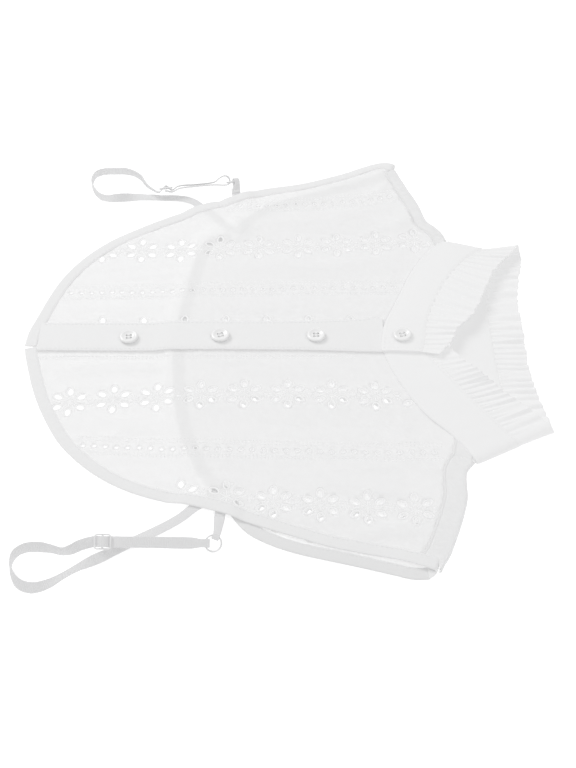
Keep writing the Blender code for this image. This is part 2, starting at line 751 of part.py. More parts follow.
def drop_points(outline, holes):
    """Points of a front along the step where it leaves the back."""
    ring = back_outline + back_outline[:3]
    border = outline + outline[:1]
    centres = [(sum(p[0] for p in h) / len(h), sum(p[1] for p in h) / len(h)) for h in holes]
    points = []
    for share in (-0.1, 0.5, 1.0):
        row = inset(ring, DROP_START + DROP_LENGTH * share)
        for x, y in thin(row, EDGE_STEP * 1.3):
            clear = all(math.dist((x, y), c) > PETAL_LENGTH * 0.8 for c in centres)
            crowd = any(math.dist((x, y), q) < 2.0 for q in points)
            if clear and not crowd and inside(x, y, outline) and nearest(x, y, border)[0] > 1.0:
                points.append((x, y))
    return points


def make_front(name, side, stripes):
    """One front, cut with its petal holes and laid over the back."""
    outline = front_outline(side)
    holes = petal_holes(stripes, outline, FRONT_PETAL_CORNERS)
    inner = drop_points(outline, holes)
    inner += inner_points(outline, holes, inner, front_level)
    return cut_sheet(name, outline, holes, inner, lay_front, WALL, CLOTH_LOOK)


def make_flap(side):
    """Flat outline of the back's flap over one shoulder, neck end first, and its inner points."""
    fold = right_fold if side > 0 else left_fold
    guide = right_guide if side > 0 else left_guide
    edge = right_edge if side > 0 else left_edge
    width = SHOULDER_WRAP[side] - roll_inset - SEAM_GAP
    top = math.pi * ROLL_RADIUS
    neck = inset(collar_front(side)[:-COLLAR_SPANS - 1], side * FLAP_NECK_GAP)
    rows = []
    for x, y in thin(fold, EDGE_STEP):
        foot, out = outward(x, y, fold, side)
        rows.append([roll(foot, out, top * k / ROLL_STEPS) for k in range(ROLL_STEPS + 1)])
    outline = list(rows[0])
    for x, y in thin(neck[::-1], EDGE_STEP):
        gap = nearest(x, y, guide)[0]
        if 0.3 < gap < width - 1.0:
            outline.append(roll(*outward(x, y, guide, side), top + gap))
    for x, y in thin(guide, EDGE_STEP):
        foot, out = outward(x, y, guide, side)
        px, py = foot[0] - out.x * width, foot[1] - out.y * width
        if beside(px, py, neck, side) > 0.8 and nearest(px, py, edge)[0] > binding_margin:
            outline.append(roll(foot, out, top + width))
    outline += rows[-1][::-1]
    return outline, [p for row in rows[1:-1] for p in row], [row[0] for row in rows]


def make_back():
    """The back, cut long at the shoulders so that it wraps onto the front."""
    hem = clip_outline(inset(back_hem, binding_margin), lambda x, y:
                       nearest(x, y, back_right_arm)[0] > binding_margin + 1.5
                       and nearest(x, y, back_left_arm)[0] > binding_margin + 1.5)
    right_arm = clip_outline(inset(back_right_arm, -binding_margin), lambda x, y:
                             nearest(x, y, back_hem)[0] > binding_margin + 1.5
                             and nearest(x, y, right_shoulder)[0] > binding_margin)
    left_arm = clip_outline(inset(back_left_arm, binding_margin), lambda x, y:
                            nearest(x, y, back_hem)[0] > binding_margin + 1.5
                            and nearest(x, y, left_shoulder)[0] > binding_margin)
    neck = [(row[0], row[1]) for row in
            collar_rows[(RIGHT_FOLD_ROW + 1) * COLLAR_SPANS:(LEFT_FOLD_ROW - 1) * COLLAR_SPANS + 1]]
    neck = thin(inset(neck, -NECK_GAP), EDGE_STEP)
    right_flap, right_inner, right_base = make_flap(1)
    left_flap, left_inner, left_base = make_flap(-1)
    lower = thin(left_arm[::-1], EDGE_STEP) + [BACK_CORNERS[1]] + thin(hem[::-1], EDGE_STEP)
    lower += [BACK_CORNERS[0]] + thin(right_arm, EDGE_STEP)
    outline = right_flap[::-1] + neck + left_flap + lower
    body = right_base[::-1] + neck + left_base + lower
    holes = petal_holes(BACK_FLOWERS, body, BACK_PETAL_CORNERS)
    return cut_sheet("back", outline, holes, right_inner + left_inner, lay_back, WALL, CLOTH_LOOK)


def make_binding(name, edge, inward, level, crest):
    """Binding along an edge, its width inward, its end turned about the height crest if given."""
    outer = thin(edge, EDGE_STEP)
    inner = inset(outer, inward * BINDING_WIDTH)
    sections = []
    for (ox, oy), (ix, iy) in zip(outer, inner):
        oz, iz = level(ox, oy), level(ix, iy)
        sections.append((Vector((ox, oy, oz)), Vector((ix, iy, iz)),
                         Vector((ix, iy, iz + BINDING_WALL)), Vector((ox, oy, oz + BINDING_WALL))))
    if crest:
        last = sections[-1]
        along = last[0] + last[1] - sections[-2][0] - sections[-2][1]
        along = Vector((along.x, along.y, 0)).normalized()
        for angle in (35, 65, 90):
            turn = math.radians(angle)
            section = []
            for p in last:
                reach = abs(p.z - crest)
                height = crest + (p.z - crest) * math.cos(turn)
                section.append(Vector((p.x, p.y, height)) + along * reach * math.sin(turn))
            sections.append(tuple(section))
    return bar(name, sections, CLOTH_LOOK)


def make_bindings():
    """The five bindings, each starting clear of the one it meets."""
    left = clip_outline(left_edge, lambda x, y: y < RIGHT_EDGE[0][1] - FOOT_NOTCH)
    right_arm = clip_outline(back_right_arm, lambda x, y: math.dist((x, y), BACK_HEM[0]) > CORNER_GAP)
    left_arm = clip_outline(back_left_arm, lambda x, y: math.dist((x, y), BACK_HEM[-1]) > CORNER_GAP)
    make_binding("binding_right", right_edge, -1, front_level, CREST_FRONT)
    make_binding("binding_left", left, 1, front_level, CREST_FRONT)
    make_binding("binding_back_hem", back_hem, 1, lambda x, y: 0.0, None)
    make_binding("binding_back_right", right_arm, -1, lambda x, y: 0.0, CREST_BACK)
    make_binding("binding_back_left", left_arm, 1, lambda x, y: 0.0, CREST_BACK)


def placket_level(x, low, high):
    """Underside of the placket, a seam gap above the highest cloth under it."""
    spots = [(x + dx, low + (high - low) * k / 6) for k in range(7) for dx in (-2.0, 2.0)]
    return max(front_level(*spot) for spot in spots) + WALL + SEAM_GAP


def make_placket():
    """The buttonhole placket, a flat band over both fronts."""
    sections = []
    for x, low, high in smooth(PLACKET_EDGES, 8):
        level = placket_level(x, low, high)
        sections.append((Vector((x, low, level)), Vector((x, high, level)),
                         Vector((x, high, level + PLACKET_WALL)), Vector((x, low, level + PLACKET_WALL))))
    return bar("placket", sections, CLOTH_LOOK)


def collar_frame(rows, low, high):
    """Lower point, upper point and outward normal of each collar row."""
    lows = [Vector(row[low:low + 3]) for row in rows]
    highs = [Vector(row[high:high + 3]) for row in rows]
    middles = [(a + b) / 2 for a, b in zip(lows, highs)]
    frames = []
    for i, (a, b) in enumerate(zip(lows, highs)):
        along = middles[min(i + 1, len(rows) - 1)] - middles[max(i - 1, 0)]
        frames.append((a, b, (b - a).cross(along).normalized()))
    return frames


def make_band():
    """The stand band, one strip round the neck with its right end over its left end."""
    sections = []
    for low, high, normal in collar_frame(collar_rows, 0, 3):
        half = normal * (BAND_WALL / 2)
        middle = (low + high) / 2 + normal * BAND_CROWN * max(high.z - low.z, 0.0)
        section = (low - half, middle - half, high - half, high + half, middle + half, low + half)
        sections.append(off_surface(section))
    return bar("collar_band", sections, CLOTH_LOOK)


def even_rows(rows, count):
    """The rows picked anew at equal steps along the line between their seam and free edge."""
    middles = [(Vector(row[3:6]) + Vector(row[6:9])) / 2 for row in rows]
    travel = [0.0]
    for a, b in zip(middles, middles[1:]):
        travel.append(travel[-1] + (b - a).length)
    out = []
    i = 0
    for k in range(count + 1):
        goal = travel[-1] * k / count
        while i < len(rows) - 2 and travel[i + 1] < goal:
            i += 1
        share = (goal - travel[i]) / (travel[i + 1] - travel[i])
        out.append(tuple(p + (q - p) * share for p, q in zip(rows[i], rows[i + 1])))
    return out


def make_ruffle():
    """The ruffle, gathered to the band's top edge and waving more towards its free edge."""
    rows = even_rows(smooth(COLLAR, 12), RUFFLE_STEPS * RUFFLE_WAVES)
    sections = []
    for i, (row, (seam, free, normal)) in enumerate(zip(rows, collar_frame(rows, 3, 6))):
        share = i / (len(rows) - 1)
        turns = RUFFLE_WAVES * share + WAVE_DRIFT * math.sin(WAVE_DRIFT_TURNS * math.pi * share)
        wave = row[9] * math.sin(2 * math.pi * turns)
        low = seam + (free - seam).normalized() * SEAM_GAP + normal * wave * GATHER_START
        high = free + normal * wave
        half = normal * (RUFFLE_WALL / 2)
        sections.append((low - half, high - half, high + half, low + half))
    return bar("collar_ruffle", sections, CLOTH_LOOK)


def make_button(name, centre, normal):
    """A dished button with a raised rim, its underside at centre, facing normal."""
    mesh_points = []
    faces = []
    count = len(BUTTON_PROFILE)
    for k in range(BUTTON_SIDES):
        angle = 2 * math.pi * k / BUTTON_SIDES
        for radius, z in BUTTON_PROFILE:
            mesh_points.append((radius * math.cos(angle), radius * math.sin(angle), z))
    for k in range(BUTTON_SIDES):
        a = k * count
        b = (k + 1) % BUTTON_SIDES * count
        for j in range(count - 1):
            faces.append((a + j, b + j, b + j + 1, a + j + 1))
    faces.append(tuple(k * count for k in range(BUTTON_SIDES)))
    faces.append(tuple(k * count + count - 1 for k in range(BUTTON_SIDES)))
    button = add_object(name, mesh_points, faces, BUTTON_LOOK)
    button.rotation_mode = "QUATERNION"
    button.rotation_quaternion = Vector((0, 0, 1)).rotation_difference(normal)
    button.location = centre * MM
    return button


def make_buttons():
    """Three buttons on the placket and one on the band."""
    rise = PLACKET_WALL + SEAM_GAP
    for number, x in enumerate(PLACKET_BUTTON_X, start=1):
        reach = BUTTON_DIAMETER / 2
        level = max(placket_level(x + dx, -13.0, 13.0) for dx in (-reach, 0.0, reach))
        make_button(f"button_{number}", Vector((x, PLACKET_BUTTON_Y, level + rise)), Vector((0, 0, 1)))
    x, y = BAND_BUTTON
    frames = collar_frame(collar_rows, 0, 3)
    low, high, normal = min(frames[:4 * COLLAR_SPANS], key=lambda f: abs((f[0].y + f[1].y) / 2 - y))
    share = (x - low.x) / (high.x - low.x)
    middle = low.lerp(high, share)
    crown = 2 * min(share, 1 - share) * BAND_CROWN * (high.z - low.z)
    top = Vector((x, y, middle.z)) + normal * (BAND_WALL / 2 + crown + SEAM_GAP)
    make_button("button_4", top, normal)


def tape(name, rows):
    """A flat tape through rows of middle, width direction and width, no lower than the surface."""
    turned = [rows[0]]
    for row in rows[1:]:
        way = 1 if Vector(row[3:6]).dot(Vector(turned[-1][3:6])) >= 0 else -1
        turned.append((*row[:3], way * row[3], way * row[4], way * row[5], row[6]))
    rows = smooth(turned, TAPE_SPANS)
    middles = [Vector(row[:3]) for row in rows]
    sections = []
    for i, row in enumerate(rows):
        along = (middles[min(i + 1, len(rows) - 1)] - middles[max(i - 1, 0)]).normalized()
        across = Vector(row[3:6])
        across = (across - along * across.dot(along)).normalized()
        face = along.cross(across) * (STRAP_WALL / 2)
        across = across * (row[6] / 2)
        section = (middles[i] - across - face, middles[i] + across - face,
                   middles[i] + across + face, middles[i] - across + face)
        sections.append(off_surface(section))
    return bar(name, sections, TAPE_LOOK)


def hidden_rows(line):
    """Rows of a tape that lies just under a front along a line."""
    rows = []
    for i, (x, y) in enumerate(line):
        ax, ay = line[max(i - 1, 0)]
        bx, by = line[min(i + 1, len(line) - 1)]
        across = Vector((ay - by, bx - ax, 0)).normalized()
        half = across * (STRAP_WIDTH / 2)
        level = min(front_level(x + half.x * s, y + half.y * s) for s in (-1, 0, 1))
        rows.append((x, y, level - SEAM_GAP - STRAP_WALL / 2, *across, STRAP_WIDTH))
    return rows


def strap_frame(slider, ring, side):
    """Directions of a strap between slider and ring: along, across and off its face."""
    along = (Vector(ring) - Vector(slider)).normalized()
    tilt = math.radians(STRAP_TILT[side])
    across = Vector((0, -side * math.cos(tilt), math.sin(tilt)))
    across = (across - along * across.dot(along)).normalized()
    return along, across, along.cross(across) * -side


def make_strap(name, hidden, loop, slider, ring, side):
    """Strap: from the back's corner round its loop, through the slider and the ring."""
    along, across, off = strap_frame(slider, ring, side)
    start = Vector(slider)
    length = (Vector(ring) - start).length
    apex = length - math.sqrt(RING_RADIUS ** 2 - (RING_TAPE / 2) ** 2) + WIRE_DIAMETER / 2 + 1.0
    layer = (STRAP_WALL + SEAM_GAP) / 2
    # Columns: distance along from the slider, offset off the face, width
    course = [
        (-SLIDER_PITCH - 0.6, -2.1, STRAP_WIDTH),
        (0.0, 1.6, STRAP_WIDTH),
        (SLIDER_PITCH, -1.5, STRAP_WIDTH),
        (SLIDER_PITCH + 4.5, layer, STRAP_WIDTH),
        (length * 0.42, layer, STRAP_WIDTH),
    ]
    for distance, height in RING_COURSE[side]:
        course.append((apex + distance, height, RING_TAPE if distance > -6.0 else STRAP_WIDTH))
    course += [
        (length * 0.42, -layer, STRAP_WIDTH),
        (SLIDER_PITCH + 5.2, -layer - 0.4, STRAP_WIDTH),
        (SLIDER_PITCH, -2.9, STRAP_WIDTH),
        (0.9, -2.1, STRAP_WIDTH),
        (-0.8, -1.6, STRAP_WIDTH),
    ]
    rows = hidden_rows(hidden)
    rows += [(*row, STRAP_WIDTH) for row in loop]
    for distance, height, width in course:
        middle = start + along * distance + off * height
        rows.append((*middle, *across, width))
    return tape(name, rows)


def make_slider(name, slider, ring, side):
    """Three-bar slider: a rounded plate with two slots."""
    along, across, off = strap_frame(slider, ring, side)
    half_long = SLIDER_PITCH + BAR_DIAMETER / 2
    half_wide = SLIDER_HALF_WIDTH + BAR_DIAMETER / 2
    outline = []
    for quarter in range(4):
        sx = 1 if quarter in (0, 3) else -1
        sy = 1 if quarter in (0, 1) else -1
        for step in range(4):
            angle = math.radians(90 * quarter + 30 * step)
            outline.append((sx * (half_long - SLIDER_CORNER) + SLIDER_CORNER * math.cos(angle),
                            sy * (half_wide - SLIDER_CORNER) + SLIDER_CORNER * math.sin(angle)))
    slots = []
    for low in (-SLIDER_PITCH + BAR_DIAMETER / 2, BAR_DIAMETER / 2):
        high = low + SLIDER_PITCH - BAR_DIAMETER
        wide = SLIDER_HALF_WIDTH - BAR_DIAMETER / 2
        slots.append([(low, -wide), (high, -wide), (high, wide), (low, wide)])
    return cut_sheet(name, outline, slots, [], lambda x, y:
                     (Vector(slider) + along * x + across * y, off), BAR_DIAMETER, SLIDER_LOOK)


def make_ring(name, slider, ring, side):
    """A plain wire ring in the plane of the strap."""
    along, across, off = strap_frame(slider, ring, side)
    points = []
    faces = []
    for k in range(RING_SIDES):
        angle = 2 * math.pi * k / RING_SIDES
        spoke = along * math.cos(angle) + across * math.sin(angle)
        for j in range(WIRE_SIDES):
            turn = 2 * math.pi * j / WIRE_SIDES
            reach = spoke * (RING_RADIUS + WIRE_DIAMETER / 2 * math.cos(turn))
            points.append(Vector(ring) + reach + off * (WIRE_DIAMETER / 2 * math.sin(turn)))
    for k in range(RING_SIDES):
        for j in range(WIRE_SIDES):
            a = k * WIRE_SIDES + j
            b = k * WIRE_SIDES + (j + 1) % WIRE_SIDES
            c = (k + 1) % RING_SIDES * WIRE_SIDES + (j + 1) % WIRE_SIDES
            d = (k + 1) % RING_SIDES * WIRE_SIDES + j
            faces.append((a, b, c, d))
    return add_object(name, points, faces, RING_LOOK)


def make_tab(name, line, slider, ring, side):
    """Tab: from under the front's edge round the ring's wire and back to the edge."""
    along, across, off = strap_frame(slider, ring, side)
    lean = math.radians(TAB_LEAN)
    outward = along * math.cos(lean) + across * math.sin(lean)
    wire = Vector(ring) + outward * (RING_RADIUS - 0.33)
    width_dir = along * math.sin(lean) - across * math.cos(lean)
    rows = hidden_rows(line)
    edge = Vector(rows[-1][:3])
    leg = edge + Vector((0, 0, TAB_RISE / 2)) - wire
    away = Vector((-leg.x, -leg.y, 0)).normalized()
    leg = (leg - width_dir * leg.dot(width_dir)).normalized()
    face = leg.cross(width_dir)
    face = face if face.dot(off) > 0 else -face
    rows.append((*(edge + away * 1.8), *rows[-1][3:6], STRAP_WIDTH))
    # Columns: distance towards the garment, offset off the face
    for reach, height in ((2.8, -1.1), (0.0, -1.0), (-0.7, -0.7), (-1.0, 0.0), (-0.7, 0.7),
                          (0.0, 1.0), (2.8, 1.1)):
        reach = reach if reach > 0 else reach * TAB_WRAP
        middle = wire + leg * reach + face * height * (TAB_WRAP if reach <= 0 else 1.2)
        rows.append((*middle, *width_dir, TAB_RING_WIDTH))
    rows.append((*(edge + away * 1.8 + Vector((0, 0, TAB_RISE))), *rows[1][3:6], STRAP_WIDTH))
    return tape(name, rows)


def rest_on_origin(objects):
    """Move the objects so that the centre of their box's base is the origin."""
    bpy.context.view_layer.update()
    corners = [obj.matrix_world @ v.co for obj in objects for v in obj.data.vertices]
    low = Vector([min(c[k] for c in corners) for k in range(3)])
    high = Vector([max(c[k] for c in corners) for k in range(3)])
    shift = Vector((-(low.x + high.x) / 2, -(low.y + high.y) / 2, -low.z))
    for obj in objects:
        obj.location += shift
    bpy.context.view_layer.update()


def main():
    """Build the collar in an empty scene."""
    for obj in list(bpy.data.objects):
        bpy.data.objects.remove(obj, do_unlink=True)
    make_back()
    make_front("front_right", 1, RIGHT_FLOWERS)
    make_front("front_left", -1, LEFT_FLOWERS)
    make_bindings()
    make_placket()
    make_band()
    make_ruffle()
    make_buttons()
    for side, word, hidden, loop, slider, ring, tab in (
            (1, "right", STRAP_HIDDEN_RIGHT, STRAP_LOOP_RIGHT, SLIDER_RIGHT, RING_RIGHT, TAB_RIGHT),
            (-1, "left", STRAP_HIDDEN_LEFT, STRAP_LOOP_LEFT, SLIDER_LEFT, RING_LEFT, TAB_LEFT)):
        make_strap(f"strap_{word}", hidden, loop, slider, ring, side)
        make_slider(f"slider_{word}", slider, ring, side)
        make_ring(f"ring_{word}", slider, ring, side)
        make_tab(f"tab_{word}", tab, slider, ring, side)
    rest_on_origin([obj for obj in bpy.data.objects if obj.type == "MESH"])


main()
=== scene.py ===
"""Looks of the detachable collar: sheer cutwork voile, bindings, gathered ruffle, buttons and straps.

Tables are in millimetres from a point on the front's centre line. X runs from the hem to
the neck, Y from the wearer's left side to the right side, and Z up from the surface.
"""
import math

import bmesh
import bpy
import numpy as np
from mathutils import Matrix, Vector, geometry


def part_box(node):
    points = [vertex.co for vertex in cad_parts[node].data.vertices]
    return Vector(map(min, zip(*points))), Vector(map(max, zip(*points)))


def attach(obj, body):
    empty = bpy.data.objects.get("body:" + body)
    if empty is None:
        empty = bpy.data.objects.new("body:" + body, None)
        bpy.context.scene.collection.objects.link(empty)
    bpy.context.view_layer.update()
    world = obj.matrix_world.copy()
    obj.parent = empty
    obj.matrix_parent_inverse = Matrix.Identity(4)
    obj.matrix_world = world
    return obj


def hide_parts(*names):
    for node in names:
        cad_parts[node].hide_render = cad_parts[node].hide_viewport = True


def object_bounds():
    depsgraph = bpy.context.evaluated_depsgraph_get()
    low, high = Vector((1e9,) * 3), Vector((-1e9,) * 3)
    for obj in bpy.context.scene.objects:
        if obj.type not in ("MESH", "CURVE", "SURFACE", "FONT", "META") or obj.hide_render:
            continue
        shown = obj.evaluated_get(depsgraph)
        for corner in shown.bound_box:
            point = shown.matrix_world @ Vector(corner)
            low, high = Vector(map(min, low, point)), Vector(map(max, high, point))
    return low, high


MM = 0.001
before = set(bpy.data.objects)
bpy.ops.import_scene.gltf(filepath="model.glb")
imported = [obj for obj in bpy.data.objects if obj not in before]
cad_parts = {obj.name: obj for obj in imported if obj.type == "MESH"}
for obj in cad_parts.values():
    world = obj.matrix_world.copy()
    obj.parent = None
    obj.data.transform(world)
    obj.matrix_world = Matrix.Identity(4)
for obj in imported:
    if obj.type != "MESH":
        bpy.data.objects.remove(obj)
cad_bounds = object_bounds()

# Driving dimensions, in millimetres
WALL = 1.0
SEAM_GAP = 0.3
BINDING_WIDTH = 7.5
BINDING_WALL = 1.2
PLACKET_WALL = 1.2
PLACKET_LAP = 9.0
BAND_WALL = 1.4
BUTTON_DIAMETER = 11.5
STRAP_WIDTH = 6.0
STRAP_WALL = 1.0
RING_RADIUS = 4.4
WIRE_DIAMETER = 1.0
SLIDER_PITCH = 4.2
SLIDER_HALF_WIDTH = 3.85
SLIDER_CORNER = 1.8
BAR_DIAMETER = 0.9
RING_TAPE = 4.6
TAB_LEAN = 70.0
TAB_RISE = 2.1
TAB_RING_WIDTH = 4.0
TAB_WRAP = 1.75
CORNER_GAP = 0.8
BAND_CROWN = 0.12

# The fronts lie this much above the surface where the back is under them
FRONT_LIFT = 1.5

# The back rolls over the shoulder with this radius and runs this far onto each front
ROLL_RADIUS = 1.5
SHOULDER_WRAP = {1: 9.0, -1: 13.0}

# Length of the straight guide that continues each fold under the collar
FLAP_GUIDE = 36

# How far outside the back's edge a front comes down to the surface
DROP_START = 1.5
DROP_LENGTH = 9.0

# Where a front's foot ends under the placket, and the notch between its bindings
LAP_FOOT = -152.8
FOOT_NOTCH = 2.4

# Heights that the front and back bindings turn about over the shoulder
CREST_FRONT = 1.95
CREST_BACK = 1.65

# Cutwork: six petals round a centre, flowers at an even pitch along each stripe
FLOWER_PITCH = 26.0
PETAL_REACH = 8.1
PETAL_LENGTH = 5.6
PETAL_WIDTH = 3.8
PETALS = 6
PETAL_MARGIN = 4.0

# Finished edge of each front from the placket's foot to the shoulder tip. Columns: x, y
RIGHT_EDGE = (
    (-163.2, -6.3),
    (-162.0, 6.0),
    (-158.4, 19.0),
    (-154.0, 35.0),
    (-148.0, 52.0),
    (-140.2, 66.5),
    (-130.5, 79.5),
    (-119.0, 91.0),
    (-103.5, 102.2),
    (-88.0, 112.0),
    (-72.0, 120.8),
    (-58.0, 128.0),
    (-44.0, 133.6),
    (-33.0, 139.5),
    (-19.0, 145.4),
    (9.0, 151.6),
    (33.0, 160.4),
    (57.0, 170.6),
    (68.0, 173.2),
    (75.0, 170.5),
)
LEFT_EDGE = (
    (-163.0, -6.0),
    (-162.0, -13.0),
    (-159.0, -24.0),
    (-152.6, -44.3),
    (-144.6, -63.0),
    (-132.2, -84.6),
    (-117.5, -100.5),
    (-102.7, -111.9),
    (-86.0, -120.6),
    (-68.0, -126.5),
    (-54.0, -129.6),
    (-42.5, -133.0),
    (-30.0, -138.2),
    (-5.0, -147.6),
    (10.2, -153.0),
    (22.5, -157.2),
    (39.0, -161.2),
    (56.0, -165.2),
    (69.0, -169.4),
    (76.4, -172.2),
)

# Finished edges of the back. Columns: x, y
BACK_HEM = (
    (-39.0, 99.0),
    (-48.5, 97.5),
    (-57.0, 89.0),
    (-62.0, 70.0),
    (-66.0, 43.0),
    (-69.5, 20.0),
    (-71.0, -6.0),
    (-69.6, -35.0),
    (-66.5, -59.0),
    (-61.5, -81.0),
    (-55.5, -96.5),
    (-49.0, -110.0),
    (-37.5, -123.5),
)

# Where the back's cloth turns inside its bindings at the two lower corners. Columns: x, y
BACK_CORNERS = ((-33.8, 91.2), (-30.4, -118.9))
BACK_RIGHT_ARM = (
    (-39.0, 99.0),
    (-31.0, 112.0),
    (-19.0, 124.5),
    (2.0, 136.0),
    (19.0, 142.5),
    (38.0, 150.0),
    (56.0, 158.5),
    (71.0, 166.5),
)
BACK_LEFT_ARM = (
    (-37.5, -123.5),
    (-32.0, -134.5),
    (-23.0, -146.6),
    (-10.8, -154.4),
    (3.7, -160.2),
    (19.7, -164.6),
    (38.6, -169.4),
    (56.9, -174.4),
    (66.0, -176.8),
    (73.6, -176.8),
)

# Where the garment folds at the shoulder, from the neck to the tip. Columns: x, y
RIGHT_SHOULDER = (
    (106.4, 89.0),
    (104.8, 95.5),
    (100.6, 102.5),
    (95.0, 109.0),
    (92.6, 117.0),
    (91.1, 123.9),
    (88.2, 133.0),
    (84.7, 141.8),
    (80.8, 153.0),
    (76.9, 163.6),
    (74.4, 168.6),
)
LEFT_SHOULDER = (
    (105.8, -101.0),
    (101.4, -107.0),
    (100.4, -115.0),
    (99.9, -125.0),
    (97.6, -134.0),
    (94.5, -143.6),
    (90.6, -154.0),
    (86.1, -164.7),
    (80.6, -172.4),
)

# Placket edges. Columns: x, lower y, upper y
PLACKET_EDGES = (
    (-153.6, -11.7, 12.0),
    (-130.0, -12.0, 12.3),
    (-80.0, -12.2, 12.2),
    (-20.0, -12.4, 12.0),
    (20.0, -13.2, 12.6),
    (45.0, -14.2, 14.2),
    (56.2, -14.6, 15.6),
)
PLACKET_BUTTON_X = (-98.7, -41.9, 17.4)
PLACKET_BUTTON_Y = -1.8
BAND_BUTTON = (70.9, -3.4)

# Collar ring, from the lapping right end round the back of the neck to the left end.
# Columns: neck seam x, y, z; ruffle seam x, y, z; ruffle's free edge x, y, z; wave height
COLLAR = (
    (57.2, -14.4, 4.4, 82.0, -17.0, 6.1, 92.0, -20.5, 7.6, 0.4),
    (57.8, -5.0, 4.3, 84.6, -7.0, 5.9, 100.5, -9.0, 7.9, 1.0),
    (60.6, 9.8, 4.1, 86.6, 7.0, 6.2, 105.5, 2.0, 8.4, 1.4),
    (64.6, 19.8, 3.4, 90.0, 18.5, 6.6, 112.5, 9.0, 8.8, 1.6),
    (71.6, 37.0, 2.9, 96.6, 35.5, 6.7, 119.5, 20.5, 8.8, 1.6),
    (78.4, 53.6, 2.9, 102.6, 47.5, 6.6, 124.5, 32.5, 8.7, 1.6),
    (87.0, 69.5, 3.2, 109.2, 57.5, 6.4, 129.0, 44.0, 8.6, 1.6),
    (96.0, 81.0, 3.6, 116.0, 66.0, 6.2, 136.0, 58.0, 8.4, 1.5),
    (102.0, 86.0, 3.8, 124.5, 74.5, 5.8, 146.5, 70.5, 8.0, 0.9),
    (105.9, 86.6, 3.7, 129.2, 77.4, 5.4, 151.6, 78.2, 7.6, 0.3),
    (107.4, 86.4, 2.3, 131.2, 78.4, 3.2, 153.4, 81.8, 4.9, 0.1),
    (106.6, 84.4, 0.9, 131.4, 75.6, 1.0, 153.9, 78.2, 2.4, 0.3),
    (104.2, 79.0, 0.9, 131.0, 69.5, 1.0, 154.0, 70.0, 2.4, 0.9),
    (101.6, 62.0, 0.8, 129.6, 52.0, 0.9, 150.2, 52.0, 2.3, 1.5),
    (100.6, 35.0, 0.8, 127.8, 30.0, 0.9, 146.6, 30.0, 2.3, 1.6),
    (100.5, 5.0, 0.8, 127.0, 4.0, 0.9, 146.8, 4.0, 2.3, 1.6),
    (100.5, -25.0, 0.8, 127.2, -22.0, 0.9, 146.0, -22.0, 2.3, 1.6),
    (101.2, -55.0, 0.8, 128.8, -46.0, 0.9, 148.0, -46.0, 2.3, 1.6),
    (102.2, -78.0, 0.8, 131.0, -66.0, 0.9, 151.0, -62.0, 2.3, 1.3),
    (104.4, -92.0, 0.9, 132.6, -78.0, 1.0, 152.8, -69.0, 2.4, 0.9),
    (106.6, -98.9, 0.9, 133.0, -85.6, 1.0, 153.2, -77.0, 2.4, 0.3),
    (107.3, -100.5, 2.3, 133.6, -87.6, 3.2, 153.4, -79.6, 4.7, 0.1),
    (106.2, -99.2, 3.7, 132.2, -86.4, 5.2, 152.2, -78.2, 7.2, 0.3),
    (101.4, -90.6, 3.8, 126.4, -79.6, 5.7, 147.0, -71.6, 7.8, 0.9),
    (93.4, -79.4, 3.6, 118.5, -68.5, 6.2, 138.7, -61.6, 8.2, 1.5),
    (82.6, -67.0, 3.2, 111.0, -58.5, 6.4, 130.5, -54.0, 8.3, 1.6),
    (74.0, -53.0, 2.8, 104.0, -48.0, 6.3, 122.5, -43.5, 8.2, 1.6),
    (66.6, -38.0, 2.7, 97.4, -37.0, 6.0, 115.0, -33.5, 8.0, 1.6),
    (60.8, -22.0, 2.6, 90.6, -26.0, 4.6, 107.6, -24.5, 6.4, 1.3),
    (57.9, -8.0, 2.4, 85.4, -12.0, 3.5, 100.0, -12.0, 4.6, 0.6),
    (57.4, 6.0, 2.4, 84.0, 4.0, 3.4, 92.0, 4.0, 4.0, 0.3),
)
RIGHT_FOLD_ROW = 10
LEFT_FOLD_ROW = 21
COLLAR_SPANS = 3
RUFFLE_WAVES = 62
WAVE_DRIFT = 1.3
WAVE_DRIFT_TURNS = 7.0
GATHER_START = 0.25

# Flower stripes: y where x is 0, slope, bow, x of one flower. Columns: y, slope, bow, phase
RIGHT_FLOWERS = (
    (7.3, 0.0, 0.0, 13.0),
    (83.6, 0.045, 0.0002, 6.7),
)
LEFT_FLOWERS = (
    (-47.6, -0.012, -0.0004, 0.0),
    (-128.0, -0.085, 0.0002, 18.0),
)
BACK_FLOWERS = (
    (100.0, 0.04, 0.0, 4.0),
    (20.5, 0.02, 0.0, 14.0),
    (-60.0, -0.01, 0.0, 6.0),
    (-141.0, -0.09, 0.0, 12.0),
)
FLOWER_REACH_X = (-130.0, 100.0)

# Largest folds of the fronts. Columns: x and y of one end, x and y of the other, width, height
RIGHT_FOLDS = (
    (-150.0, 30.0, -90.0, 22.0, 11.0, 0.9),
    (-60.0, 66.0, 55.0, 60.0, 12.0, 0.8),
    (20.0, 112.0, 78.0, 128.0, 12.0, 1.3),
    (70.0, 100.0, 90.0, 118.0, 8.0, 1.2),
    (-120.0, 84.0, -60.0, 104.0, 12.0, 0.8),
)
LEFT_FOLDS = (
    (-150.0, -26.0, -62.0, -24.5, 7.0, 1.1),
    (-40.0, -28.0, 44.0, -30.0, 9.0, 0.9),
    (0.0, -112.0, 74.0, -116.0, 12.0, 1.2),
    (30.0, -150.0, 76.0, -146.0, 9.0, 1.4),
    (-110.0, -70.0, -60.0, -76.0, 12.0, 0.9),
    (58.0, -70.0, 78.0, -96.0, 9.0, 1.2),
)
SHOULDER_RISE = 1.5
SHOULDER_RAMP = 26.0

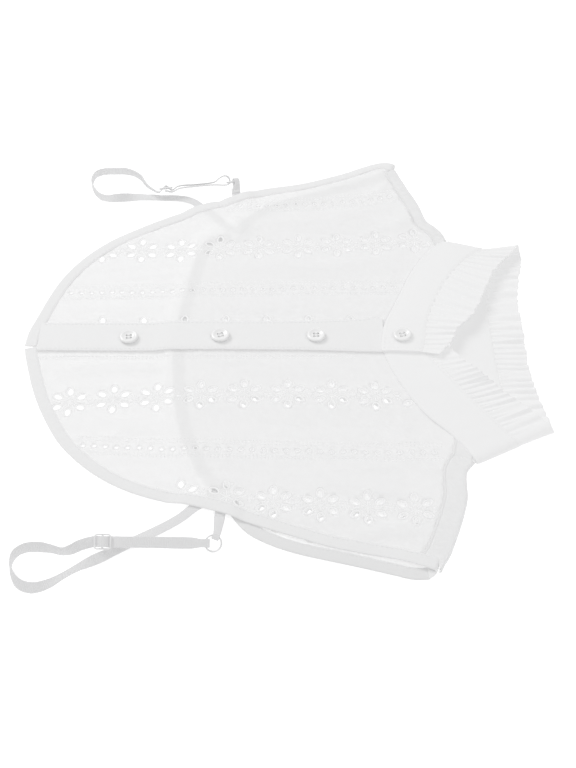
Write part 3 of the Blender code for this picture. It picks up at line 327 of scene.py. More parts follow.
# Hidden end of each strap, from the back's corner to the hem. Columns: x, y
STRAP_HIDDEN_LEFT = ((-39.5, -121.0), (-45.0, -125.6), (-52.0, -130.4))
STRAP_HIDDEN_RIGHT = ((-38.0, 100.5), (-44.8, 109.6), (-52.0, 118.2), (-60.0, 126.0))
STRAP_LIFT = 1.7
STRAP_BUMP = 6.5
STRAP_BUMP_RAMP = 9.0

# Free run of each strap from the hem round the loop to the slider.
# Columns: x, y, z of the middle, then the x, y, z direction of the width
STRAP_LOOP_LEFT = (
    (-58.4, -136.8, 1.0, -0.62, 0.78, 0.0),
    (-65.6, -142.2, 1.0, -0.55, 0.83, 0.0),
    (-73.8, -147.3, 1.0, -0.5, 0.86, 0.0),
    (-83.0, -152.6, 1.0, -0.5, 0.86, 0.0),
    (-91.0, -157.6, 1.0, -0.5, 0.86, 0.05),
    (-97.0, -161.4, 1.2, -0.5, 0.84, 0.2),
    (-103.2, -165.7, 2.3, -0.35, 0.55, 0.7),
    (-110.6, -170.7, 3.2, -0.05, 0.1, 1.0),
    (-117.7, -175.8, 3.3, 0.0, 0.0, 1.0),
    (-125.5, -181.0, 3.1, 0.0, 0.45, 0.9),
    (-133.7, -183.0, 2.7, 0.0, 0.7, 0.7),
    (-140.9, -180.4, 2.9, 0.2, 0.55, 0.8),
    (-145.6, -173.5, 3.3, 0.2, 0.1, 1.0),
    (-146.7, -168.1, 3.3, 0.0, 0.0, 1.0),
    (-145.5, -162.5, 3.3, -0.2, 0.2, 1.0),
    (-141.0, -158.6, 3.1, -0.1, 0.45, 0.9),
    (-133.3, -157.6, 2.9, 0.0, 0.55, 0.85),
    (-126.0, -159.1, 3.2, 0.0, 0.3, 0.95),
    (-119.8, -160.9, 3.5, 0.0, 0.2, 1.0),
    (-115.4, -160.2, 4.3, 0.0, 0.5, 0.85),
    (-111.0, -158.2, 5.2, 0.0, 0.75, 0.65),
)
STRAP_LOOP_RIGHT = (
    (-65.1, 131.6, 0.8, 0.6, 0.8, 0.0),
    (-71.1, 134.6, 0.8, 0.3, 0.95, 0.0),
    (-77.1, 136.0, 0.7, 0.1, 1.0, 0.0),
    (-85.9, 136.3, 0.7, 0.0, 1.0, 0.0),
    (-96.2, 136.9, 0.8, 0.0, 1.0, 0.0),
    (-105.0, 136.8, 1.1, 0.0, 0.97, 0.2),
    (-112.2, 135.4, 1.9, 0.0, 0.8, 0.6),
    (-119.2, 133.8, 2.8, 0.0, 0.4, 0.9),
    (-124.9, 132.8, 3.2, 0.0, 0.0, 1.0),
    (-130.2, 134.8, 3.3, 0.0, 0.0, 1.0),
    (-134.9, 140.6, 3.3, 0.0, 0.0, 1.0),
    (-137.4, 147.5, 3.3, 0.0, 0.0, 1.0),
    (-137.7, 153.4, 3.3, 0.0, 0.0, 1.0),
    (-135.7, 159.3, 3.3, 0.0, 0.0, 1.0),
    (-130.8, 162.2, 3.3, 0.0, 0.0, 1.0),
    (-123.4, 162.8, 3.3, 0.0, 0.0, 1.0),
    (-114.3, 162.2, 3.5, 0.0, 0.0, 1.0),
    (-108.6, 158.8, 4.2, 0.0, -0.1, 1.0),
    (-103.4, 153.2, 5.0, 0.1, -0.25, 1.0),
    (-100.4, 147.4, 5.5, 0.1, -0.45, 0.9),
    (-96.6, 141.8, 5.7, 0.14, -0.62, 0.72),
)

# Slider and ring of each strap. Columns: x, y, z
SLIDER_LEFT = (-98.8, -157.2, 7.2)
SLIDER_RIGHT = (-85.0, 139.4, 6.8)
RING_LEFT = (-40.0, -155.8, 3.6)
RING_RIGHT = (-38.6, 149.4, 4.4)

# Tilt of the strap's width from the surface between slider and ring, in degrees
STRAP_TILT = {1: 44.0, -1: 34.0}

# Round each ring. Columns: distance from the turn's end, offset off the strap's face
RING_COURSE = {
    1: ((-14.0, 0.75), (-10.5, 1.3), (-7.5, 3.2), (-4.2, 4.7), (-1.6, 4.3), (-0.2, 2.6), (0.0, 0.8),
        (-0.45, -0.9), (-1.7, -1.55), (-5.0, -1.6), (-9.0, -1.1), (-14.0, -0.75)),
    -1: ((-9.0, 0.7), (-4.5, 1.3), (-1.45, 1.45), (-0.42, 1.03), (0.0, 0.0), (-0.42, -1.03),
         (-1.45, -1.45), (-4.5, -1.3), (-9.0, -0.7)),
}

# Tab from under the front to the ring. Columns: x, y
TAB_LEFT = ((-36.6, -130.4), (-37.4, -136.4))
TAB_RIGHT = ((-34.8, 131.6), (-36.2, 139.2))


# Finer sizes of the looks, in millimetres
VOILE_WALL = 0.3
BINDING_TURN = 5.2
UNDER_BAND = 3.0
PANEL_STEP = 2.3
LINE_STEP = 1.8
PETAL_SIDES = 14
PETAL_POINT = 0.28
GRID_ROW = 0.87
CUTWORK_CLEAR = 13.5
BAR_MARGIN = 2.0
EYELET_MARGIN = 3.0
PLACKET_HEAD = 1.2
PLACKET_TAIL = 3.0
PLACKET_SEAM = 1.7
SATIN_WIDTH = 1.15
SATIN_RISE = 0.32
EYELET_HOLE = 1.1
EYELET_SATIN = 0.8
EYELET_SIDES = 10
EYELET_PITCH = 6.5
STITCH_LENGTH = 2.0
STITCH_PITCH = 2.7
STITCH_THREAD = 0.42
STITCH_RISE = 0.2
DASH_LENGTH = 1.5
DASH_PITCH = 2.2
DASH_THREAD = 0.5
BUTTON_HOLE = 0.85
BUTTON_HOLE_REACH = 1.55
BUTTON_SIDES = 48
HOLE_SIDES = 12
BUTTON_RINGS = (5.55, 5.3, 5.0, 4.7, 4.4, 4.1, 3.8, 3.5, 3.2, 2.9)
RIB_PITCH = 1.0
RIB_RISE = 0.14

# Creases laid in each front. Columns: x and y of one end, x and y of the other, width, height
RIGHT_CREASES = (
    (-150.0, 21.0, -84.0, 15.5, 4.0, 0.30),
    (-120.0, 55.0, -52.0, 60.0, 5.0, 0.28),
    (-58.0, 22.0, 20.0, 19.0, 3.5, -0.30),
    (-36.0, 104.0, 30.0, 112.0, 6.0, 0.42),
    (-20.0, 120.0, 44.0, 138.0, 6.0, 0.45),
    (24.0, 66.0, 78.0, 74.0, 6.0, 0.30),
    (44.0, 92.0, 84.0, 112.0, 5.0, 0.50),
    (52.0, 134.0, 74.0, 150.0, 6.0, 0.55),
    (-96.0, 92.0, -66.0, 110.0, 5.0, -0.25),
    (60.0, 40.0, 70.0, 58.0, 4.5, 0.35),
    (-10.0, 52.0, 44.0, 50.0, 4.0, -0.28),
)
LEFT_CREASES = (
    (-152.0, -14.5, -88.0, -16.0, 3.0, 0.40),
    (-146.0, -22.0, -60.0, -21.0, 2.6, 0.45),
    (-58.0, -21.5, 30.0, -24.5, 2.6, 0.40),
    (14.0, -19.0, 54.0, -19.5, 2.6, 0.45),
    (-120.0, -66.0, -60.0, -68.0, 6.0, 0.30),
    (-112.0, -82.0, -96.0, -78.0, 4.0, 0.55),
    (-30.0, -70.0, 50.0, -74.0, 6.0, -0.28),
    (0.0, -106.0, 70.0, -104.0, 7.0, 0.55),
    (34.0, -118.0, 78.0, -126.0, 6.0, 0.5),
    (44.0, -148.0, 76.0, -138.0, 5.0, 0.6),
    (64.0, -92.0, 84.0, -110.0, 5.0, 0.55),
    (-84.0, -108.0, -50.0, -120.0, 5.0, 0.35),
    (62.0, -60.0, 72.0, -78.0, 4.0, 0.4),
)
BACK_CREASES = (
    (-60.0, 60.0, 40.0, 66.0, 8.0, 0.30),
    (-50.0, -30.0, 60.0, -36.0, 9.0, 0.28),
    (-20.0, -100.0, 60.0, -110.0, 8.0, 0.30),
    (0.0, 110.0, 70.0, 126.0, 8.0, 0.28),
)
# Narrow stripes of eyelets. Columns: y where x is 0, slope, bow, first x, last x
RIGHT_NARROW = (
    (43.0, 0.018, 0.0, -146.0, 76.0),
    (126.6, 0.03, 0.0011, -40.0, 80.0),
)
LEFT_NARROW = (
    (-91.2, -0.03, 0.0001, -118.0, 86.0),
    (-12.4, -0.004, 0.0, -152.0, 40.0),
)
BACK_NARROW = (
    (60.0, 0.03, 0.0, -60.0, 92.0),
    (-20.0, 0.0, 0.0, -64.0, 94.0),
    (-100.0, -0.04, 0.0, -46.0, 84.0),
)
# Rows of small stitches beside each row of eyelets
DASH_ROWS = (6.9, 4.4, -3.9, -5.4)
BAND_STEP = 1.5
BAND_SEAMS = (0.075, 0.925)
RUFFLE_STEP = 0.42
RUFFLE_SHELL = 0.5
FLAP_TIP = 6.0
RUFFLE_COLUMNS = (-0.04, 0.04, 0.12, 0.22, 0.34, 0.46, 0.58, 0.7, 0.81, 0.9, 0.955, 0.985, 1.0)

# Upper half of an elastic tape's outline. Columns: share of half the width, height from 0 to 1
TAPE_TOP = ((-1.0, 0.0), (-0.95, 0.8), (-0.8, 1.0), (0.0, 1.0), (0.8, 1.0), (0.95, 0.8), (1.0, 0.0))

# Upper half of a folded strip's rounded outline. Columns: share across, height from 0 to 1
STRIP_TOP = (
    (0.0, 0.0),
    (0.02, 0.55),
    (0.07, 0.9),
    (0.16, 1.0),
    (0.5, 1.0),
    (0.8, 1.0),
    (0.92, 0.9),
    (0.98, 0.55),
    (1.0, 0.0),
)

# Thickness of the band. Columns: share across, share of its full thickness
BAND_PROFILE = (
    (0.0, 0.0),
    (0.015, 0.6),
    (0.05, 0.92),
    (0.1, 1.0),
    (0.2, 1.0),
    (0.32, 1.0),
    (0.44, 1.0),
    (0.56, 1.0),
    (0.68, 1.0),
    (0.8, 1.0),
    (0.9, 1.0),
    (0.95, 0.92),
    (0.985, 0.6),
    (1.0, 0.0),
)

# Face and underside of a button. Columns: radius, height
BUTTON_FACE = (
    (0.0, 1.28),
    (1.6, 1.3),
    (2.6, 1.36),
    (3.3, 1.62),
    (3.9, 2.02),
    (4.6, 2.2),
    (5.1, 2.1),
    (5.5, 1.78),
    (5.75, 1.25),
)
BUTTON_UNDER = ((0.0, 0.0), (4.2, 0.02), (5.0, 0.22), (5.5, 0.6), (5.75, 1.05))

# Direction of the strongest pull in the placket at each button, and each button's own turn
PULL_TURNS = (0.8, 1.25, 1.1)
BUTTON_TURNS = (0.12, 0.3, 0.05, 0.22)

# Greys and see-through share of the cloths, their painted light (a white glow that lifts their shade), light
# of the stage
VOILE_GREY = (0.67, 0.67, 0.672)
# The back's voile is the fronts' cloth with a lower grey and a stronger glow: painted light that lifts it
# where the fronts shade it
BACK_GREY = (0.62, 0.62, 0.622)
SEAM_GREY = (0.63, 0.63, 0.632)
VOILE_ALPHA = 0.68
SEAM_ALPHA = 0.76
# The ruffle's voile has a lower grey under the collar's stronger glow: painted light that lifts the shade
# between its gathers
FRILL_GREY = (0.5, 0.5, 0.502)
FRILL_ALPHA = 0.96
SATIN_GREY = (0.66, 0.66, 0.662)
COTTON_GREY = (0.62, 0.62, 0.622)
# The band's cotton has a lower grey under the collar's stronger glow: painted light that lifts the shade
# inside the collar
STAND_GREY = (0.49, 0.49, 0.492)
BIAS_GREY = (0.6, 0.6, 0.602)
# Painted shade: the back's bindings are the same bias cotton as the fronts' bindings, made darker so the
# back's hem reads darker through the fronts
BIAS_BACK_PAINTED_SHADE_GREY = (0.55, 0.55, 0.552)
THREAD_GREY = (0.62, 0.62, 0.622)
ELASTIC_GREY = (0.54, 0.54, 0.545)
BUTTON_GREY = (0.86, 0.86, 0.86)
SLIDER_GREY = (0.84, 0.84, 0.845)
RING_GREY = (0.82, 0.82, 0.825)
FLOOR_GLOW = 0.34
FLOOR_SIZE = 60.0
FLOOR_DROP = 0.0002
# Painted light: every cloth and thread glows white with this strength, lifting its shade as light scattered
# through the cloth would
CLOTH_PAINTED_LIGHT = 0.22
# Painted light: the back's voile glows more, lifting the shade under the fronts and in the holes over it
BACK_PAINTED_LIGHT = 0.36
# Painted light: the back's bindings glow like the other cloths
BIAS_BACK_PAINTED_LIGHT = 0.22
# Painted light: the band and ruffle glow more, lifting the shade inside the collar and in the ruffle
COLLAR_PAINTED_LIGHT = 0.37
WORLD_LIGHT = 0.66

# The camera: place in metres from the tables' origin, tilt in degrees, lens and sensor in millimetres
CAMERA_PLACE = (0.0, -0.5276, 0.544)
CAMERA_TILT = 42.0
CAMERA_LENS = 56.95
CAMERA_SENSOR = 36.0

# Area lights. Columns: name, place and size in metres, power
LIGHTS = (
    ("key", (-0.9, 0.75, 1.1), 0.8, 10.0),
    ("fill", (0.8, -0.7, 1.4), 1.2, 5.5),
)


def smooth(points, spans):
    """Centripetal Catmull-Rom curve through points of any dimension."""
    rows = [tuple(float(c) for c in p) for p in points]
    first = tuple(2 * a - b for a, b in zip(rows[0], rows[1]))
    last = tuple(2 * a - b for a, b in zip(rows[-1], rows[-2]))
    rows = [first] + rows + [last]

    def knot(start, a, b):
        gap = math.sqrt(sum((p - q) ** 2 for p, q in zip(a[:3], b[:3])))
        return start + max(math.sqrt(gap), 1e-6)

    def mix(a, b, ta, tb, t):
        share = (t - ta) / (tb - ta)
        return tuple(p + (q - p) * share for p, q in zip(a, b))

    out = []
    for i in range(len(rows) - 3):
        p0, p1, p2, p3 = rows[i:i + 4]
        t0 = 0.0
        t1 = knot(t0, p0, p1)
        t2 = knot(t1, p1, p2)
        t3 = knot(t2, p2, p3)
        for k in range(spans):
            t = t1 + (t2 - t1) * k / spans
            a1 = mix(p0, p1, t0, t1, t)
            a2 = mix(p1, p2, t1, t2, t)
            a3 = mix(p2, p3, t2, t3, t)
            b1 = mix(a1, a2, t0, t2, t)
            b2 = mix(a2, a3, t1, t3, t)
            out.append(mix(b1, b2, t1, t2, t))
    out.append(rows[-2])
    return out


def closed_outline(top):
    """An outline from its upper half, mirrored below."""
    return top + tuple((share, -height) for share, height in top[-2:0:-1])


def inset(points, distance):
    """The plane curve moved to its left by distance, or to its right if it is negative."""
    out = []
    for i, (x, y) in enumerate(points):
        ax, ay = points[max(i - 1, 0)]
        bx, by = points[min(i + 1, len(points) - 1)]
        length = math.hypot(bx - ax, by - ay)
        out.append((x - (by - ay) / length * distance, y + (bx - ax) / length * distance))
    return out


def extend(line, length):
    """The line with a straight run of points added before its start."""
    ax, ay = line[0]
    bx, by = line[len(line) // 2]
    span = math.dist(line[0], (bx, by))
    ux, uy = (ax - bx) / span, (ay - by) / span
    return [(ax + ux * k, ay + uy * k) for k in range(length, 0, -2)] + line


def counterclockwise(points):
    """The outline in counterclockwise order."""
    area = sum(ax * by - bx * ay for (ax, ay), (bx, by) in zip(points, points[1:] + points[:1]))
    return points if area > 0 else points[::-1]


def collar_front(side):
    """Neck seam of the band over one front, from the placket to the shoulder."""
    if side > 0:
        rows = collar_rows[:RIGHT_FOLD_ROW * COLLAR_SPANS + 1]
    else:
        rows = collar_rows[LEFT_FOLD_ROW * COLLAR_SPANS:][::-1]
    return [(row[0], row[1]) for row in rows]


def strap_frame(slider, ring, side):
    """Directions of a strap between slider and ring: along, across and off its face."""
    along = (Vector(ring) - Vector(slider)).normalized()
    tilt = math.radians(STRAP_TILT[side])
    across = Vector((0, -side * math.cos(tilt), math.sin(tilt)))
    across = (across - along * across.dot(along)).normalized()
    return along, across, along.cross(across) * -side


def fade(value):
    """Smooth step from 0 to 1."""
    value = np.clip(value, 0.0, 1.0)
    return value * value * (3 - 2 * value)


def wobble(along, seed):
    """Smooth uneven value of about -1 to 1 along a line in millimetres, the same each run."""
    along = np.asarray(along, float)
    return (np.sin(along * 0.31 + seed * 1.7) + np.sin(along * 0.73 + seed * 2.9)
            + np.sin(along * 1.27 + seed * 4.3)) / 2.2


def inside(x, y, polygon):
    """Which points lie in a closed plane polygon."""
    x, y = np.atleast_1d(x), np.atleast_1d(y)
    hit = np.zeros(x.shape, bool)
    for (ax, ay), (bx, by) in zip(polygon, polygon[1:] + polygon[:1]):
        if ay != by:
            hit ^= ((ay > y) != (by > y)) & (x < ax + (y - ay) / (by - ay) * (bx - ax))
    return hit


def nearest(x, y, line):
    """Distance of points to a polyline, the feet on it, and the line's direction there."""
    x, y = np.atleast_1d(np.asarray(x, float)), np.atleast_1d(np.asarray(y, float))
    best = np.full(x.shape, np.inf)
    foot = np.zeros(x.shape + (2,))
    way = np.zeros(x.shape + (2,))
    for (ax, ay), (bx, by) in zip(line, line[1:]):
        dx, dy = bx - ax, by - ay
        length2 = dx * dx + dy * dy
        if length2 < 1e-12:
            continue
        share = np.clip(((x - ax) * dx + (y - ay) * dy) / length2, 0.0, 1.0)
        fx, fy = ax + dx * share, ay + dy * share
        gap = np.hypot(x - fx, y - fy)
        closer = gap < best
        best = np.where(closer, gap, best)
        foot[closer] = np.stack([fx, fy], -1)[closer]
        way[closer] = np.array([dx, dy]) / math.sqrt(length2)
    return best, foot, way


def far_from(point, line):
    """Distance of one point to a polyline."""
    return float(nearest(point[0], point[1], line)[0][0])


strip_profile = closed_outline(STRIP_TOP)
tape_profile = closed_outline(TAPE_TOP)
right_edge = smooth(RIGHT_EDGE, 6)
left_edge = smooth(LEFT_EDGE, 6)
back_hem = smooth(BACK_HEM, 6)
back_right_arm = smooth(BACK_RIGHT_ARM, 6)
back_left_arm = smooth(BACK_LEFT_ARM, 6)
right_shoulder = smooth(RIGHT_SHOULDER, 5)
left_shoulder = smooth(LEFT_SHOULDER, 5)
collar_rows = smooth(COLLAR, COLLAR_SPANS)
back_outline = (back_right_arm + right_shoulder[::-1] + left_shoulder
                + back_left_arm[::-1] + back_hem[-2:0:-1])
binding_margin = BINDING_WIDTH + SEAM_GAP
roll_inset = ROLL_RADIUS + WALL / 2

button_low, button_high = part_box("button_1")
shift = np.array([(button_low.x + button_high.x) / 2 / MM - PLACKET_BUTTON_X[0],
                  (button_low.y + button_high.y) / 2 / MM - PLACKET_BUTTON_Y,
                  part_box("back")[0].z / MM])


def fold_line(shoulder, edge, arm, side):
    """Line where the back starts to roll over one shoulder, ending short of the bindings."""
    return [p for p in inset(shoulder, side * roll_inset)
            if far_from(p, edge) > binding_margin + SEAM_GAP
            and far_from(p, arm) > binding_margin + SEAM_GAP]


right_fold = fold_line(right_shoulder, right_edge, back_right_arm, 1)
left_fold = fold_line(left_shoulder, left_edge, back_left_arm, -1)
right_guide = extend(right_fold, FLAP_GUIDE)
left_guide = extend(left_fold, FLAP_GUIDE)


def fold_height(x, y, folds):
    """Height that the listed folds add at points."""
    height = np.zeros(np.shape(x))
    for x0, y0, x1, y1, width, top in folds:
        length = math.hypot(x1 - x0, y1 - y0)
        along = ((x - x0) * (x1 - x0) + (y - y0) * (y1 - y0)) / length
        across = ((x - x0) * (y1 - y0) - (y - y0) * (x1 - x0)) / length
        ends = fade(along / (0.3 * length)) * fade((length - along) / (0.3 * length))
        height += top * ends * np.exp(-(across / (0.5 * width)) ** 2)
    return height


def front_level(x, y):
    """Underside of the fronts' solids above the surface."""
    x, y = np.atleast_1d(np.asarray(x, float)), np.atleast_1d(np.asarray(y, float))
    gap = nearest(x, y, back_outline + back_outline[:1])[0]
    drop = 1.0 - fade((gap - DROP_START) / DROP_LENGTH)
    level = FRONT_LIFT * np.where(inside(x, y, back_outline), 1.0, drop)
    for side, strap, tab, shoulder, folds in (
            (1, STRAP_HIDDEN_RIGHT, TAB_RIGHT, right_shoulder, RIGHT_FOLDS),
            (-1, STRAP_HIDDEN_LEFT, TAB_LEFT, left_shoulder, LEFT_FOLDS)):
        mine = (y > 0) if side > 0 else (y <= 0)
        near_tape = np.minimum(nearest(x, y, strap)[0], nearest(x, y, tab)[0])
        bump = STRAP_LIFT * (1.0 - fade((near_tape - STRAP_BUMP) / STRAP_BUMP_RAMP))
        near_fold = nearest(x, y, shoulder)[0] - SHOULDER_WRAP[side]
        rise = SHOULDER_RISE * (1.0 - fade(near_fold / SHOULDER_RAMP))
        level = level + mine * (np.where(x < 10, bump, rise) + fold_height(x, y, folds))
    return level


def front_cloth(x, y):
    """Middle of the fronts' thin cloth, with its creases."""
    x, y = np.atleast_1d(np.asarray(x, float)), np.atleast_1d(np.asarray(y, float))
    small = np.where(y > 0, fold_height(x, y, RIGHT_CREASES), fold_height(x, y, LEFT_CREASES))
    ripple = 0.12 * wobble(y * 0.9 + 4 * np.sin(x / 37.0), 1) * (1 + 0.6 * np.sin(x / 23.0))
    ripple += 0.09 * wobble(x * 0.5 + y * 0.25, 2)
    return np.maximum(front_level(x, y) + WALL / 2 + 1.7 * small + ripple, 0.22)


def back_cloth(x, y):
    """Middle of the back's thin cloth, with its creases."""
    x, y = np.atleast_1d(np.asarray(x, float)), np.atleast_1d(np.asarray(y, float))
    seam = np.minimum(nearest(x, y, right_fold)[0], nearest(x, y, left_fold)[0])
    calm = fade(seam / 8.0)
    ripple = 0.05 * wobble(y * 1.1 + 3 * np.sin(x / 31.0), 5) + 0.03 * wobble(x * 0.5, 6)
    return WALL / 2 + calm * (0.6 * fold_height(x, y, BACK_CREASES) + ripple)


def make_piece(name, skins, materials, replaced=(), angle=42):
    """A piece on the root body from skins of points in millimetres and faces, a material for each."""
    if not isinstance(materials, list):
        materials = [materials] * len(skins)
    points, faces = join(skins)
    mesh = bpy.data.meshes.new(name)
    mesh.from_pydata(((points + shift) * MM).tolist(), [], faces)
    used = list(dict.fromkeys(materials))
    for material in used:
        mesh.materials.append(material)
    looks = [used.index(m) for m, (_, more) in zip(materials, skins) for _ in more]
    mesh.polygons.foreach_set("material_index", looks)
    work = bmesh.new()
    work.from_mesh(mesh)
    bmesh.ops.recalc_face_normals(work, faces=work.faces)
    work.to_mesh(mesh)
    work.free()
    mesh.shade_smooth()
    mesh.set_sharp_from_angle(angle=math.radians(angle))
    obj = bpy.data.objects.new(name, mesh)
    bpy.context.collection.objects.link(obj)
    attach(obj, "root")
    if replaced:
        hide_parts(*replaced)
    return obj


def skin(sections, closed=False):
    """Points and faces of a skin through sections of equal size, capped unless it is closed."""
    sections = np.asarray(sections, float)
    count, size, _ = sections.shape
    faces = []
    for i in range(count if closed else count - 1):
        a = i * size
        b = (i + 1) % count * size
        faces += [(a + k, a + (k + 1) % size, b + (k + 1) % size, b + k) for k in range(size)]
    if not closed:
        faces.append(tuple(range(size))[::-1])
        faces.append(tuple(range((count - 1) * size, count * size)))
    return sections.reshape(-1, 3), faces


def unit(vectors):
    """The vectors at length one."""
    return vectors / np.maximum(np.linalg.norm(vectors, axis=-1, keepdims=True), 1e-9)


def tangents(points):
    """Directions along a line of points."""
    return unit(np.gradient(np.asarray(points, float), axis=0))


def walk(points, step):
    """Points of a line picked anew at an even step along it."""
    points = np.asarray(points, float)
    steps = np.linalg.norm(np.diff(points[:, :3], axis=0), axis=1)
    travel = np.concatenate([[0.0], np.cumsum(steps)])
    count = max(int(round(travel[-1] / step)), 1)
    goals = np.linspace(0.0, travel[-1], count + 1)
    return np.stack([np.interp(goals, travel, points[:, k]) for k in range(points.shape[1])], -1)


def join(skins):
    """One skin of several."""
    faces = []
    base = 0
    for points, more in skins:
        faces += [tuple(base + i for i in face) for face in more]
        base += len(points)
    return np.concatenate([np.asarray(points, float) for points, _ in skins]), faces


def lozenge(middle, along, up, length, width, height):
    """A small raised stitch, pointed at both ends."""
    middle, along, up = (np.asarray(v, float) for v in (middle, along, up))
    across = np.cross(up, along)
    points = [middle - along * length / 2, middle + along * length / 2]
    for share in (-0.26, 0.26):
        spot = middle + along * length * share
        points += [spot + across * width / 2, spot + up * height,
                   spot - across * width / 2, spot - up * height]
    faces = []
    for k in range(4):
        n = (k + 1) % 4
        faces += [(0, 2 + n, 2 + k), (2 + k, 2 + n, 6 + n, 6 + k), (1, 6 + k, 6 + n)]
    return np.array(points), faces


def stitch_line(points, ups, length, pitch, width, height):
    """Stitches along a line in space, lying on the side that ups point to."""
    line = walk(np.hstack([points, ups]), pitch)
    return [lozenge(spot[:3], way, unit(spot[3:6]), length, width, height)
            for spot, way in zip(line, tangents(line[:, :3]))]


def sewn_line(points, ups=None):
    """Sewing stitches along a line in space, on top of it where no ups are given."""
    if ups is None:
        ups = upward(points)
    return stitch_line(points, ups, STITCH_LENGTH, STITCH_PITCH, STITCH_THREAD, STITCH_RISE)


def upward(points):
    """The upward direction for each of the points."""
    return np.tile([0.0, 0.0, 1.0], (len(points), 1))


def welt(points, width, height):
    """A low rounded ridge along a line that lies flat."""
    line = walk(np.hstack([points, upward(points)]), LINE_STEP)
    sections = []
    for spot, way in zip(line, tangents(line[:, :3])):
        up = unit(spot[3:6])
        across = np.cross(up, way)
        sections.append([spot[:3] + across * math.cos(a) * width / 2 + up * math.sin(a) * height
                         for a in np.linspace(0, 2 * math.pi, 9)[:-1]])
    return skin(sections)


def petal_outline(x, y, angle):
    """Pointed outline of one petal, its length along angle."""
    points = []
    for k in range(PETAL_SIDES):
        turn = 2 * math.pi * k / PETAL_SIDES
        along = PETAL_LENGTH / 2 * math.cos(turn)
        taper = 1.0 - PETAL_POINT * max(math.cos(turn), 0.0) ** 2
        across = PETAL_WIDTH / 2 * math.sin(turn) * taper
        points.append((x + along * math.cos(angle) - across * math.sin(angle),
                       y + along * math.sin(angle) + across * math.cos(angle)))
    return points


def eyelet_outline(x, y):
    """Slightly uneven round outline of one eyelet."""
    tall = 0.95 + 0.06 * math.sin(x)
    turns = [2 * math.pi * k / EYELET_SIDES for k in range(EYELET_SIDES)]
    return [(x + EYELET_HOLE * 1.06 * math.cos(t), y + EYELET_HOLE * tall * math.sin(t)) for t in turns]


def satin_ring(outline, width):
    """A raised satin ring round a hole, its heights counted from the cloth."""
    hole = np.array(outline)
    edge = unit(np.roll(hole, -1, axis=0) - np.roll(hole, 1, axis=0))
    out = np.stack([edge[:, 1], -edge[:, 0]], -1)
    out *= np.sign(np.sum(out * (hole - hole.mean(axis=0)), axis=1, keepdims=True))
    turns = np.linspace(0, 2 * math.pi, 7)[:-1]
    reach = width * (0.08 + 0.52 * np.cos(turns))
    sections = np.zeros((len(hole), len(turns), 3))
    sections[:, :, :2] = hole[:, None] + out[:, None] * reach[None, :, None]
    sections[:, :, 2] = SATIN_RISE * np.sin(turns)
    return skin(sections, closed=True)


class Cutwork:
    """Holes and raised embroidery of one panel, where keep holds."""

    def __init__(self, outline, keep):
        self.outline = outline
        self.border = outline + outline[:1]
        self.keep = keep
        self.holes = []
        self.centres = []
        self.skins = []

    def fits(self, spots, margin):
        """Which of the spots lie on the panel, clear of its border by margin."""
        x, y = np.array(spots, float).reshape(-1, 2).T
        kept = inside(x, y, self.outline) & self.keep(x, y)
        return kept & (nearest(x, y, self.border)[0] > margin)

    def cut(self, hole, reach, width):
        """Cut one hole and bind it with satin."""
        middle = np.mean(hole, axis=0)
        self.holes.append(hole)
        self.centres.append((middle[0], middle[1], reach))
        self.skins.append(satin_ring(hole, width))

    def bars(self, rows):
        """Satin bars on rays. Columns of rows: x, y, angle, start, end, width."""
        rows = np.array(rows, float)
        along = np.stack([np.cos(rows[:, 2]), np.sin(rows[:, 2])], -1)
        middles = rows[:, :2] + along * ((rows[:, 3] + rows[:, 4]) / 2)[:, None]
        for row, (x, y), (dx, dy), fit in zip(rows, middles, along, self.fits(middles, BAR_MARGIN)):
            if fit:
                self.skins.append(lozenge((x, y, 0), (dx, dy, 0), (0, 0, 1), row[4] - row[3], row[5],
                                          SATIN_RISE))

    def flowers(self, stripes):
        """Six petals round each centre, stitched rays in it, and a leaf between flowers."""
        petals = []
        bars = []
        low, high = FLOWER_REACH_X
        for y0, slope, bow, phase in stripes:
            first = phase + math.ceil((low - phase) / FLOWER_PITCH) * FLOWER_PITCH
            for x in np.arange(first, high, FLOWER_PITCH):
                y = y0 + slope * x + bow * x * x
                for k in range(PETALS):
                    angle = math.radians(90 + k * 360 / PETALS)
                    petals.append((x + PETAL_REACH * math.cos(angle),
                                   y + PETAL_REACH * math.sin(angle), angle))
                    bars.append((x, y, angle, 0.9, 4.7, 1.2))
                    bars.append((x, y, angle + math.pi / PETALS, 1.4, 3.6, 0.6))
                leaf = x + FLOWER_PITCH / 2
                bars.append((leaf, y, 0.0, -1.9, 1.9, 1.9))
                for way in (40, 90, 140, 220, 270, 320):
                    bars.append((leaf, y, math.radians(way), 1.6, 3.5, 0.7))
        for (x, y, angle), fit in zip(petals, self.fits([p[:2] for p in petals], PETAL_MARGIN)):
            if fit:
                self.cut(petal_outline(x, y, angle), PETAL_LENGTH * 0.6, SATIN_WIDTH)
        self.bars(bars)

    def eyelets(self, rows):
        """Rows of small eyelets between rows of dotted stitches."""
        bars = []
        for y0, slope, bow, start, end in rows:
            xs = np.arange(start, end, EYELET_PITCH)
            ys = y0 + slope * xs + bow * xs * xs + 0.3 * np.sin(xs * 0.21)
            for x, y, fit in zip(xs, ys, self.fits(np.column_stack([xs, ys]), EYELET_MARGIN)):
                if fit:
                    self.cut(eyelet_outline(x, y), EYELET_HOLE * 2.0, EYELET_SATIN)
            for offset in DASH_ROWS:
                for number, x in enumerate(np.arange(start - 3, end + 3, DASH_PITCH)):
                    tilt = (0.5 if number % 2 else -0.5) if abs(offset) > 5 else 0.0
                    bars.append((x, y0 + slope * x + bow * x * x + offset, tilt,
                                 -DASH_LENGTH / 2, DASH_LENGTH / 2, DASH_THREAD))
        self.bars(bars)

    def embroidery(self, name, level, material):
        """The raised threads as one piece, laid on the cloth."""
        points, faces = join(self.skins)
        points[:, 2] += level(points[:, 0], points[:, 1])
        return make_piece(name, [(points, faces)], material)


